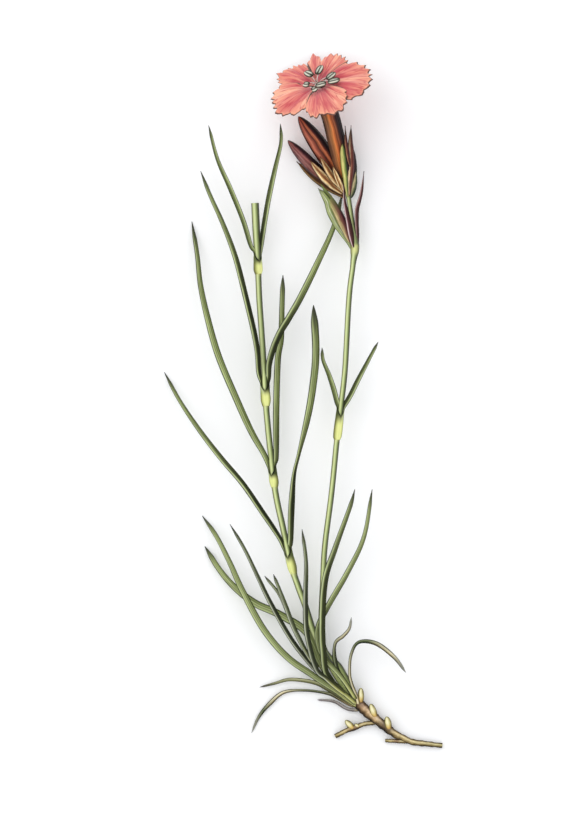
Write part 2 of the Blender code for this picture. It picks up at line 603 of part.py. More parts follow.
    # Withered leaves, the outermost of the tuft
    leaf("withered_leaf_1", [
        (-1.6, 2.8, 3.6), (-2.7, 4.6, 4.1), (-4.2, 6.9, 4.4), (-5.3, 9.6, 4.4), (-5.7, 12.5, 4.9),
        (-5.3, 15.2, 5.4),
        (-3.4, 16.8, 5.9), (-1.9, 18.7, 6.4), (-1.4, 21.5, 6.9)], 0.95, STRAW)
    leaf("withered_leaf_2", [
        (0.4, 0.2, 3.2), (-0.4, 2.3, 4.0), (-1.4, 5.0, 4.7), (-1.85, 7.5, 5.2), (-1.5, 12.0, 6.2),
        (0.4, 15.2, 7.0),
        (4.75, 14.9, 6.6), (9.25, 11.5, 4.8), (12.25, 7.5, 2.8)], 1.0, STRAW, rings=16)
    leaf("withered_leaf_3", [
        (-2.1, -0.5, 2.2), (-3.0, 0.6, 2.0), (-4.6, 1.6, 1.7), (-7.25, 3.25, 1.5),
        (-10.75, 5.0, 1.5), (-16.6, 5.75, 1.3), (-20.6, 4.75, 0.8),
        (-24.4, 3.75, 0.25)], 0.95, STRAW, floor=True, rings=11)
    leaf("withered_leaf_4", [
        (-2.3, -0.4, 0.9), (-4.2, 0.9, 0.7), (-7.25, 2.2, 0.6), (-13.0, 3.0, 0.7), (-18.35, 2.5, 0.6),
        (-22.0, -0.5, 0.5), (-24.6, -3.75, 0.4), (-26.4, -7.75, 0.25)], 0.9, BROWN, floor=True)
    leaf("withered_leaf_5", [
        (-1.2, -1.7, 0.8), (-2.9, -1.4, 0.7), (-5.85, 0.25, 0.5), (-9.9, 0.6, 0.25)], 0.75, BROWN,
        floor=True, rings=8)

    # Bracts on the upper sheath of the flowering stem
    bract("upper_bract_left", [
        (-2.0, 113.2, 4.8), (-2.5, 116.0, 4.8), (-3.9, 118.6, 4.9), (-6.2, 122.6, 5.3),
        (-7.6, 125.4, 5.6), (-9.75, 128.4, 5.6)], 1.9, GREEN, (1, 0, 0.4), (0.3, 0, 1), rings=10)
    bract("upper_bract_inner", [
        (-2.5, 117.0, 6.2), (-3.4, 119.1, 6.5), (-4.75, 121.75, 6.8), (-6.3, 124.5, 7.0)],
        1.6, BROWN, (0.3, 0, -1), (0.3, 0, -1))
    bract("upper_bract_front", [
        (-0.8, 113.2, 5.9), (-1.1, 116.0, 6.6), (-2.3, 120.25, 7.9), (-3.3, 125.2, 8.3),
        (-3.9, 128.9, 8.2)], 1.1, PURPLE, (0, 0, -1), (0, 0, -1), rings=10)
    bract("upper_bract_right", [
        (1.05, 113.2, 4.6), (0.9, 116.4, 4.6), (0.6, 121.75, 4.6), (1.0, 126.25, 4.8),
        (1.75, 133.0, 5.6)], 1.0, PURPLE, (-1, 0, 0), (-0.4, 0, 1), rings=10)

    flower_head()


main()
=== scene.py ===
# A dianthus plant with its rootstock, laid on a pale floor and looked down on from above.
# The frame is in metres. Routes and sizes below are in millimetres, from root to tip.

import json
import math

import bmesh
import bpy
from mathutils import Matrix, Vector

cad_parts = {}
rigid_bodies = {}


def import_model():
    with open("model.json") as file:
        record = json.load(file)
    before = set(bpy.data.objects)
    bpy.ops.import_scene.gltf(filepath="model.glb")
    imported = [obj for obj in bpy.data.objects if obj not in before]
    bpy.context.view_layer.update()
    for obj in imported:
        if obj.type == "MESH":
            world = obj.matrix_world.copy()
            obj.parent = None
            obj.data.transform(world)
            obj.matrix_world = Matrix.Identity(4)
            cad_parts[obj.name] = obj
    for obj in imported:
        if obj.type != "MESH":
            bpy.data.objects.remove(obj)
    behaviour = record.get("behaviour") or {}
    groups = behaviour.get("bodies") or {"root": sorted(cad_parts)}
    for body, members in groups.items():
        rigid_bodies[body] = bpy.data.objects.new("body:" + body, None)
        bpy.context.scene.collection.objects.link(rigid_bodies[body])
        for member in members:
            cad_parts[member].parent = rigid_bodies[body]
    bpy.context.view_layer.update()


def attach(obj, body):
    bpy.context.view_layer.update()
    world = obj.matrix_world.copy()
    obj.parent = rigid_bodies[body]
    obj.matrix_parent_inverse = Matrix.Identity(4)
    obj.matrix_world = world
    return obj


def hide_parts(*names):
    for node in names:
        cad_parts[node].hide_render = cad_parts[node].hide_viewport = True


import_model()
mm = 0.001
up = Vector((0, 0, 1))


# Helpers

def toLinear(hexText):
    parts = [int(hexText[k:k + 2], 16) / 255 for k in (1, 3, 5)]
    return tuple(p / 12.92 if p < 0.04045 else ((p + 0.055) / 1.055) ** 2.4 for p in parts) + (1,)


def addNode(tree, kind, inputs=None, stops=None, **settings):
    # inputs are values or sockets, stops are the places and colours of a ramp
    node = tree.nodes.new(kind)
    for key, value in settings.items():
        setattr(node, key, value)
    for key, value in (inputs or {}).items():
        if isinstance(value, bpy.types.NodeSocket):
            tree.links.new(value, node.inputs[key])
        elif isinstance(value, str) and value.startswith("#"):
            node.inputs[key].default_value = toLinear(value)
        else:
            node.inputs[key].default_value = value
    if stops:
        marks = node.color_ramp.elements
        for place, colour in stops[1:-1]:
            marks.new(place)
        for mark, (place, colour) in zip(marks, stops):
            mark.position = place
            mark.color = toLinear(colour) if isinstance(colour, str) else (colour,) * 3 + (1,)
    return node


def addSteps(tree, kind, known, *steps):
    # each step is a name for its result, an operation and its inputs: known names or values
    for name, operation, *inputs in steps:
        values = {k: known[v] if isinstance(v, str) else v for k, v in enumerate(inputs)}
        known[name] = addNode(tree, kind, values, operation=operation).outputs[0]


def smooth(a, b, t):
    t = min(1, max(0, (t - a) / (b - a)))
    return t * t * (3 - 2 * t)


def mix(a, b, t):
    return a + (b - a) * t


def evenShares(count):
    return [i / (count - 1) for i in range(count)]


def ripple(wave, place, shift=0):
    high, often = wave
    return high * math.sin(often * place + shift)


def curvePoints(route, count, crowd=1, steps=12):
    # points on a smooth curve through the route, closer at its start if crowd > 1
    pts = [Vector(p) for p in route]
    pts = [pts[0] * 2 - pts[1]] + pts + [pts[-1] * 2 - pts[-2]]
    fine = []
    for p0, p1, p2, p3 in zip(pts, pts[1:], pts[2:], pts[3:]):
        for k in range(steps):
            t = k / steps
            fine.append(0.5 * (2 * p1 + (p2 - p0) * t + (2 * p0 - 5 * p1 + 4 * p2 - p3) * t ** 2
                               + (3 * p1 - p0 - 3 * p2 + p3) * t ** 3))
    fine.append(pts[-2])
    along = [0]
    for a, b in zip(fine, fine[1:]):
        along.append(along[-1] + (b - a).length)
    even, k = [], 0
    for i in range(count):
        goal = along[-1] * (i / (count - 1)) ** crowd
        while k < len(fine) - 2 and along[k + 1] < goal:
            k += 1
        even.append(fine[k].lerp(fine[k + 1], (goal - along[k]) / (along[k + 1] - along[k])))
    return even


def tangentAt(path, i):
    return (path[min(i + 1, len(path) - 1)] - path[max(i - 1, 0)]).normalized()


def atHeight(path, y):
    for a, b in zip(path, path[1:]):
        if a.y <= y <= b.y:
            return a.lerp(b, (y - a.y) / (b.y - a.y)), (b - a).normalized()
    return path[-1], tangentAt(path, len(path) - 1)


def addObject(name, mesh):
    obj = bpy.data.objects.new(name, mesh)
    bpy.context.scene.collection.objects.link(obj)
    return obj


def storeValues(mesh, name, values):
    kind, field = ("FLOAT_VECTOR", "vector") if isinstance(values[0], Vector) else ("FLOAT", "value")
    layer = mesh.attributes.new(name, kind, "POINT")
    flat = [c for v in values for c in v] if kind == "FLOAT_VECTOR" else values
    layer.data.foreach_set(field, flat)


def growAlong(name, path, tree, settings, values):
    # run a tree on a chain of points with their values, and keep its result as a plain mesh
    mesh = bpy.data.meshes.new(name)
    mesh.from_pydata([p * mm for p in path], [(i, i + 1) for i in range(len(path) - 1)], [])
    for key, numbers in values.items():
        storeValues(mesh, key, numbers)
    obj = addObject(name, mesh)
    modifier = obj.modifiers.new("growth", "NODES")
    modifier.node_group = tree
    for item in tree.interface.items_tree:
        if item.in_out == "INPUT" and item.name in settings:
            modifier[item.identifier] = settings[item.name]
    shown = obj.evaluated_get(bpy.context.evaluated_depsgraph_get())
    grown = bpy.data.meshes.new_from_object(shown)
    obj.modifiers.remove(modifier)
    obj.data = grown
    return obj


def keepAboveFloor(obj):
    for vert in obj.data.vertices:
        vert.co.z = max(vert.co.z, 0)


def joinAll(objs):
    with bpy.context.temp_override(active_object=objs[0], object=objs[0],
                                   selected_editable_objects=objs, selected_objects=objs):
        bpy.ops.object.join()
    return objs[0]


def standFor(obj, node):
    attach(obj, "root")
    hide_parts(node)
    return obj


# Camera, floor and light

studio = {
    "pixelsPerMm": 4.0,            # of the picture
    "picture": (570, 818),
    "originPixel": (357, 703),     # where the crown stands in it
    "trueHeight": 6.0,             # height above the floor at which that scale holds
    "lens": 400.0,                 # long, so that height hardly moves anything
    "sensor": 36.0,
    "clip": (0.05, 20),            # metres
    "floor": "#FCFCFB",
    "floorSize": 1.6,              # metres
    "floorDrop": 0.1,              # just under the plant
    "floorRoughness": 0.9,
    "floorGloss": 0.1,
    "sky": "#FBFCFF",
    "skyStrength": 1.05,
}
lamps = {       # place in metres, size, watts
    "keyLamp": ((-0.45, 0.30, 0.75), 0.7, 1.15),
    "fillLamp": ((0.5, -0.2, 0.7), 0.8, 0.3),
}


def makeStudio():
    scene = bpy.context.scene
    scene.view_settings.view_transform = "Standard"
    wide, high = studio["picture"]
    scale = studio["pixelsPerMm"]
    data = bpy.data.cameras.new("camera")
    data.lens, data.sensor_width = studio["lens"], studio["sensor"]
    data.clip_start, data.clip_end = studio["clip"]
    camera = bpy.data.objects.new("camera", data)
    x = (wide / 2 - studio["originPixel"][0]) / scale
    y = (studio["originPixel"][1] - high / 2) / scale
    away = high / scale * studio["lens"] / studio["sensor"]
    camera.location = Vector((x, y, away + studio["trueHeight"])) * mm
    scene.collection.objects.link(camera)
    scene.camera = camera

    middle = Vector((x, y, 0)) * mm
    half = studio["floorSize"] / 2
    corners = [middle + Vector((a * half, b * half, -studio["floorDrop"] * mm))
               for a, b in ((-1, -1), (1, -1), (1, 1), (-1, 1))]
    mesh = bpy.data.meshes.new("floor")
    mesh.from_pydata(corners, [], [(0, 1, 2, 3)])
    paper = bpy.data.materials.new("matt board")    # uncoated, so it shows no gloss
    paper.use_nodes = True
    shader = paper.node_tree.nodes["Principled BSDF"]
    shader.inputs["Base Color"].default_value = toLinear(studio["floor"])
    shader.inputs["Roughness"].default_value = studio["floorRoughness"]
    shader.inputs["Specular IOR Level"].default_value = studio["floorGloss"]
    mesh.materials.append(paper)
    addObject("floor", mesh)

    for name, (place, size, watts) in lamps.items():
        light = bpy.data.lights.new(name, "AREA")
        light.shape, light.size, light.energy = "DISK", size, watts
        lamp = bpy.data.objects.new(name, light)
        lamp.location = middle + Vector(place)
        lamp.rotation_euler = (-Vector(place)).to_track_quat("-Z", "Y").to_euler()
        scene.collection.objects.link(lamp)
    world = bpy.data.worlds.new("soft sky")
    world.use_nodes = True
    sky = world.node_tree.nodes["Background"]
    sky.inputs["Color"].default_value = toLinear(studio["sky"])
    sky.inputs["Strength"].default_value = studio["skyStrength"]
    scene.world = world
    print("studio ready")


makeStudio()


# Trees that grow a blade or a stalk along a chain of points

def startTree(name, numbers, counts):
    tree = bpy.data.node_groups.new(name, "GeometryNodeTree")
    tree.interface.new_socket("Geometry", in_out="INPUT", socket_type="NodeSocketGeometry")
    for kind, group in (("NodeSocketFloat", numbers), ("NodeSocketInt", counts)):
        for title, value in group.items():
            socket = tree.interface.new_socket(title, in_out="INPUT", socket_type=kind)
            socket.default_value = value
    tree.interface.new_socket("Material", in_out="INPUT", socket_type="NodeSocketMaterial")
    tree.interface.new_socket("Geometry", in_out="OUTPUT", socket_type="NodeSocketGeometry")
    return tree, {socket.name: socket for socket in addNode(tree, "NodeGroupInput").outputs}


def endTree(tree, given, geometry):
    real = addNode(tree, "GeometryNodeRealizeInstances", {"Geometry": geometry})
    soft = addNode(tree, "GeometryNodeSetShadeSmooth", {"Geometry": real.outputs[0]})
    dressed = addNode(tree, "GeometryNodeSetMaterial", {
        "Geometry": soft.outputs[0], "Material": given["Material"]})
    addNode(tree, "NodeGroupOutput", {"Geometry": dressed.outputs[0]})
    return tree


bladeForm = {
    "crowding": 1.3,       # rings stand closer towards the foot
    "keelSharpness": 5.0,
    "waverings": 7.0,      # of the margins, from foot to tip
    "fullFrom": 0.7,       # half width from which a blade has its full thickness
    "marginPower": 4.0,    # the higher, the later the thickness runs out
    "endSlope": 40.0,      # the thickness is full a fortieth of the length from each end
    "mergeWithin": 2e-6}   # metres


def makeBladeTree():
    # a channelled blade: two skins that meet at the margins and at both ends
    tree, given = startTree("blade along a spine", {
        "Thickness": 0.4, "Keel": 0.1, "Veins": 5.0, "Vein depth": 0.015, "Ruffle": 0.0,
        "Seed": 0.0}, {"Rings": 120, "Columns": 17})
    spine = addNode(tree, "GeometryNodeMeshToCurve", {"Mesh": given["Geometry"]}).outputs[0]
    blade = addNode(tree, "GeometryNodeMeshGrid", {
        "Size X": 1.0, "Size Y": 2.0, "Vertices X": given["Rings"],
        "Vertices Y": given["Columns"]}).outputs["Mesh"]
    spot = addNode(tree, "ShaderNodeSeparateXYZ", {
        0: addNode(tree, "GeometryNodeInputPosition").outputs[0]}).outputs
    known = {**given, "far": spot[0], "across": spot[1]}
    addSteps(tree, "ShaderNodeMath", known,
             ("along", "ADD", "far", 0.5), ("along", "POWER", "along", bladeForm["crowding"]))

    for key in ("halfWidth", "curl", "facing", "sheath", "gloom", "paintedShadeSign"):
        kind = "FLOAT_VECTOR" if key == "facing" else "FLOAT"
        value = addNode(tree, "GeometryNodeInputNamedAttribute", {"Name": key}, data_type=kind)
        sampled = addNode(tree, "GeometryNodeSampleCurve", {
            "Curves": spine, "Value": value.outputs[0], "Factor": known["along"]},
            data_type=kind, mode="FACTOR", use_all_curves=True).outputs
        known[key] = sampled["Value"]
    known["place"], known["ahead"] = sampled["Position"], sampled["Tangent"]
    addSteps(tree, "ShaderNodeVectorMath", known,
             ("side", "CROSS_PRODUCT", "ahead", "facing"), ("side", "NORMALIZE", "side"),
             ("inner", "CROSS_PRODUCT", "side", "ahead"))

    # the cross-section is an arc with a keel under its middle and fine veins
    addSteps(tree, "ShaderNodeMath", known,
             ("angle", "MULTIPLY", "halfWidth", "across"), ("angle", "DIVIDE", "angle", "curl"),
             ("sine", "SINE", "angle"), ("sideways", "MULTIPLY", "curl", "sine"),
             ("cosine", "COSINE", "angle"), ("rise", "SUBTRACT", 1.0, "cosine"),
             ("rise", "MULTIPLY", "curl", "rise"),
             ("keel", "MULTIPLY", "across", bladeForm["keelSharpness"]),
             ("keel", "MULTIPLY_ADD", "keel", "keel", 1.0), ("keel", "DIVIDE", "Keel", "keel"),
             ("vein", "MULTIPLY", "across", "Veins"), ("vein", "MULTIPLY", "vein", 2 * math.pi),
             ("vein", "COSINE", "vein"),
             ("waver", "MULTIPLY_ADD", "along", bladeForm["waverings"], "Seed"))
    known["waver"] = addNode(tree, "ShaderNodeTexNoise", {
        "W": known["waver"], "Scale": 1.0, "Detail": 1.0}, noise_dimensions="1D").outputs[0]
    addSteps(tree, "ShaderNodeMath", known,
             ("waver", "SUBTRACT", "waver", 0.5), ("waver", "MULTIPLY", "waver", "across"),
             ("waver", "MULTIPLY", "waver", "Ruffle"),
             ("relief", "MULTIPLY_ADD", "vein", "Vein depth", "waver"),
             ("relief", "SUBTRACT", "relief", "keel"),
             ("full", "DIVIDE", "halfWidth", bladeForm["fullFrom"]),
             ("full", "MINIMUM", "full", 1.0), ("lift", "MULTIPLY_ADD", "relief", "full", "rise"))

    # the thickness is full in the middle and runs out at the margins and the ends
    addSteps(tree, "ShaderNodeMath", known,
             ("edge", "ABSOLUTE", "across"), ("edge", "POWER", "edge", bladeForm["marginPower"]),
             ("edge", "SUBTRACT", 1.0, "edge"), ("ends", "SUBTRACT", 1.0, "along"),
             ("ends", "MINIMUM", "ends", "along"),
             ("ends", "MULTIPLY", "ends", bladeForm["endSlope"]), ("ends", "MINIMUM", "ends", 1.0),
             ("thick", "MULTIPLY", "edge", "ends"), ("thick", "MULTIPLY", "thick", "full"),
             ("thick", "MULTIPLY", "thick", "Thickness"),
             ("toned", "MULTIPLY", "across", "paintedShadeSign"))
    # the across stored for the finish is turned by the sign, so that the half painted in shade lies at
    # its high end
    for key, field in (("along", "along"), ("across", "toned"), ("sheath", "sheath"),
                       ("gloom", "gloom")):
        blade = addNode(tree, "GeometryNodeStoreNamedAttribute", {
            "Geometry": blade, "Name": key, "Value": known[field]},
            data_type="FLOAT", domain="POINT").outputs[0]
    skins = []
    for half in (0.5, -0.5):
        addSteps(tree, "ShaderNodeMath", known, ("height", "MULTIPLY_ADD", "thick", half, "lift"))
        addSteps(tree, "ShaderNodeVectorMath", known,
                 ("raised", "MULTIPLY", "inner", "height"),
                 ("offset", "MULTIPLY_ADD", "side", "sideways", "raised"),
                 ("spot", "MULTIPLY_ADD", "offset", (mm, mm, mm), "place"))
        skins.append(addNode(tree, "GeometryNodeSetPosition", {
            "Geometry": blade, "Position": known["spot"]}).outputs[0])
    both = addNode(tree, "GeometryNodeJoinGeometry")
    tree.links.new(addNode(tree, "GeometryNodeFlipFaces", {"Mesh": skins[0]}).outputs[0],
                   both.inputs[0])
    tree.links.new(skins[1], both.inputs[0])
    closed = addNode(tree, "GeometryNodeMergeByDistance", {
        "Geometry": both.outputs[0], "Distance": bladeForm["mergeWithin"]}).outputs[0]
    return endTree(tree, given, closed)


def makeStalkTree():
    # a round or ribbed stalk, as thick as the girth stored on its points
    tree, given = startTree("stalk along a spine", {
        "Ribs": 8.0, "Rib depth": 0.0, "Bump": 0.0, "Bump scale": 900.0, "Seed": 0.0},
        {"Sides": 32, "Rings": 200})
    spot = addNode(tree, "GeometryNodeInputPosition").outputs[0]
    share = addNode(tree, "GeometryNodeSplineParameter").outputs["Factor"]
    girth = addNode(tree, "GeometryNodeInputNamedAttribute", {"Name": "girth"},
                    data_type="FLOAT").outputs[0]
    known = {**given, "spot": spot, "share": share, "girth": girth}
    spine = addNode(tree, "GeometryNodeMeshToCurve", {"Mesh": given["Geometry"]}).outputs[0]
    spine = addNode(tree, "GeometryNodeResampleCurve", {
        "Curve": spine, "Count": given["Rings"]}, mode="COUNT").outputs[0]
    spine = addNode(tree, "GeometryNodeSetCurveNormal", {"Curve": spine}, mode="Z_UP").outputs[0]
    ring = addNode(tree, "GeometryNodeCurvePrimitiveCircle", {
        "Resolution": given["Sides"], "Radius": 1.0}, mode="RADIUS").outputs["Curve"]
    spine, ring = [addNode(tree, "GeometryNodeStoreNamedAttribute", {
        "Geometry": curve, "Name": key, "Value": field}, data_type=kind, domain="POINT").outputs[0]
        for curve, key, field, kind in ((spine, "along", share, "FLOAT"),
                                        (ring, "ring", spot, "FLOAT_VECTOR"))]
    addSteps(tree, "ShaderNodeMath", known,
             ("wave", "MULTIPLY", "share", "Ribs"), ("wave", "MULTIPLY", "wave", 2 * math.pi),
             ("wave", "COSINE", "wave"), ("wave", "MULTIPLY_ADD", "wave", "Rib depth", 1.0),
             ("girth", "MULTIPLY", "girth", mm))
    addSteps(tree, "ShaderNodeVectorMath", known, ("ribbed", "MULTIPLY", "spot", "wave"))
    ring = addNode(tree, "GeometryNodeSetPosition", {
        "Geometry": ring, "Position": known["ribbed"]}).outputs[0]
    tube = addNode(tree, "GeometryNodeCurveToMesh", {
        "Curve": spine, "Profile Curve": ring, "Scale": known["girth"],
        "Fill Caps": True}).outputs[0]
    known["grain"] = addNode(tree, "ShaderNodeTexNoise", {
        "Vector": spot, "W": given["Seed"], "Scale": given["Bump scale"], "Detail": 3.0},
        noise_dimensions="4D").outputs[0]
    known["normal"] = addNode(tree, "GeometryNodeInputNormal").outputs[0]
    addSteps(tree, "ShaderNodeMath", known,
             ("grain", "SUBTRACT", "grain", 0.5), ("grain", "MULTIPLY", "grain", "Bump"),
             ("grain", "MULTIPLY", "grain", mm))
    addSteps(tree, "ShaderNodeVectorMath", known, ("push", "MULTIPLY", "normal", "grain"))
    tube = addNode(tree, "GeometryNodeSetPosition", {
        "Geometry": tube, "Offset": known["push"]}).outputs[0]
    return endTree(tree, given, tube)


bladeTree = makeBladeTree()
stalkTree = makeStalkTree()
print("trees ready")


# Finishes. Every one reads the attributes that its piece stores.

def startFinish(name, roughness, specular, *stored):
    # also gives the values that are stored on the piece under these names
    material = bpy.data.materials.new(name)
    material.use_nodes = True
    tree = material.node_tree
    shader = tree.nodes["Principled BSDF"]
    shader.inputs["Roughness"].default_value = roughness
    shader.inputs["Specular IOR Level"].default_value = specular
    return material, tree, {
        key: addNode(tree, "ShaderNodeAttribute", attribute_name=key).outputs["Fac"]
        for key in stored}


def addGrain(tree, lane, patch, detail):
    # streaks along the lanes, and soft patches of a size in millimetres
    spot = addNode(tree, "ShaderNodeTexCoord").outputs["Object"]
    return [addNode(tree, "ShaderNodeTexNoise", {
        "Vector": vector, "Scale": scale, "Detail": detail}).outputs["Fac"]
        for vector, scale in ((lane, 1.0), (spot, 1 / (patch * mm)))]


def endFinish(material, colour, layers, height, strength, depth):
    # lay each layer's colour over the first by its share, and give the surface its relief
    tree = material.node_tree
    for share, over, blend in layers:
        colour = addNode(tree, "ShaderNodeMix", {0: share, 6: colour, 7: over},
                         data_type="RGBA", blend_type=blend).outputs[2]
    bump = addNode(tree, "ShaderNodeBump", {
        "Height": height, "Strength": strength, "Distance": depth * mm}).outputs[0]
    shader = tree.nodes["Principled BSDF"]
    tree.links.new(colour, shader.inputs["Base Color"])
    tree.links.new(bump, shader.inputs["Normal"])
    return material


bladeGrain = {"specular": 0.15, "lengthScale": 6.0, "drift": 0.35, "detail": 2.0,
              "streaksBetween": (0.35, 0.65),
              "relief": (0.4, 0.06)}      # strength, and depth in millimetres


def makeBladeFinish(name, look):
    # a leaf or scale: one half light, the other darkened by painted shade, as if in the fold's shade,
    # with fine parallel veins
    material, tree, known = startFinish(name, look["roughness"], bladeGrain["specular"],
                                        "across", "along", "gloom", "sheath")
    addSteps(tree, "ShaderNodeMath", known,
             ("lane", "MULTIPLY", "across", look["lanes"]),
             ("far", "MULTIPLY", "along", bladeGrain["lengthScale"]))
    lane = addNode(tree, "ShaderNodeCombineXYZ", {0: known["lane"], 1: known["far"]}).outputs[0]
    streaks, known["cloud"] = addGrain(tree, lane, look["patch"], bladeGrain["detail"])
    addSteps(tree, "ShaderNodeMath", known,
             ("place", "SUBTRACT", "cloud", 0.5),
             ("place", "MULTIPLY_ADD", "place", bladeGrain["drift"], "across"),
             ("place", "MULTIPLY_ADD", "place", 0.5, 0.5))
    # both ramps paint the half away from the key lamp darker; the dark ramp, laid on by gloom, is
    # painted shade
    light, dark, rim = [
        addNode(tree, "ShaderNodeValToRGB", {0: known["place"]}, stops=look[key]).outputs[0]
        for key in ("light", "dark", "sheath")]
    weakest, strongest = bladeGrain["streaksBetween"]
    tone = addNode(tree, "ShaderNodeMapRange", {
        0: streaks, 1: weakest, 2: strongest,
        3: 1 - look["contrast"], 4: 1 + look["contrast"]}).outputs[0]
    tip = addNode(tree, "ShaderNodeMapRange", {0: known["along"], 1: look["tipFrom"], 2: 1.0},
                  interpolation_type="SMOOTHSTEP").outputs[0]
    return endFinish(material, light, (
        (known["gloom"], dark, "MIX"), (1.0, tone, "MULTIPLY"), (tip, look["tip"], "MIX"),
        (known["sheath"], rim, "MIX")), streaks, *bladeGrain["relief"])


nodeTones = [(0, "#DEE292"), (0.12, "#E6EA98"), (0.24, "#CCD07E"), (0.36, "#8C8E4E"), (0.5, "#4C4E28"),
             (0.64, "#8C8E4E"), (0.76, "#CCD07E"), (0.88, "#E6EA98"), (1, "#DEE292")]
footTones = [(0, "#2A2C16"), (0.12, "#5E6032"), (0.24, "#CCCA84"), (0.5, "#B6B468"), (0.7, "#7A7C40"),
             (0.84, "#3E4020"), (1, "#1A1C0A")]
driedTones = [(0, "#4E4028"), (0.12, "#C4B184"), (0.4, "#EADFB8"), (0.65, "#D2C293"),
              (0.88, "#86744E"), (1, "#3A2E1C")]
leafGrain = {"roughness": 0.62, "lanes": 2.6, "patch": 6.0, "contrast": 0.36, "tipFrom": 0.88,
             "sheath": nodeTones}
driedGrain = {"roughness": 0.8, "lanes": 5.0, "patch": 3.0, "contrast": 0.24, "tipFrom": 0.8,
              "sheath": driedTones}
scaleGrain = {"roughness": 0.6, "lanes": 3.0, "patch": 2.0, "contrast": 0.3, "tipFrom": 0.88,
              "sheath": nodeTones}
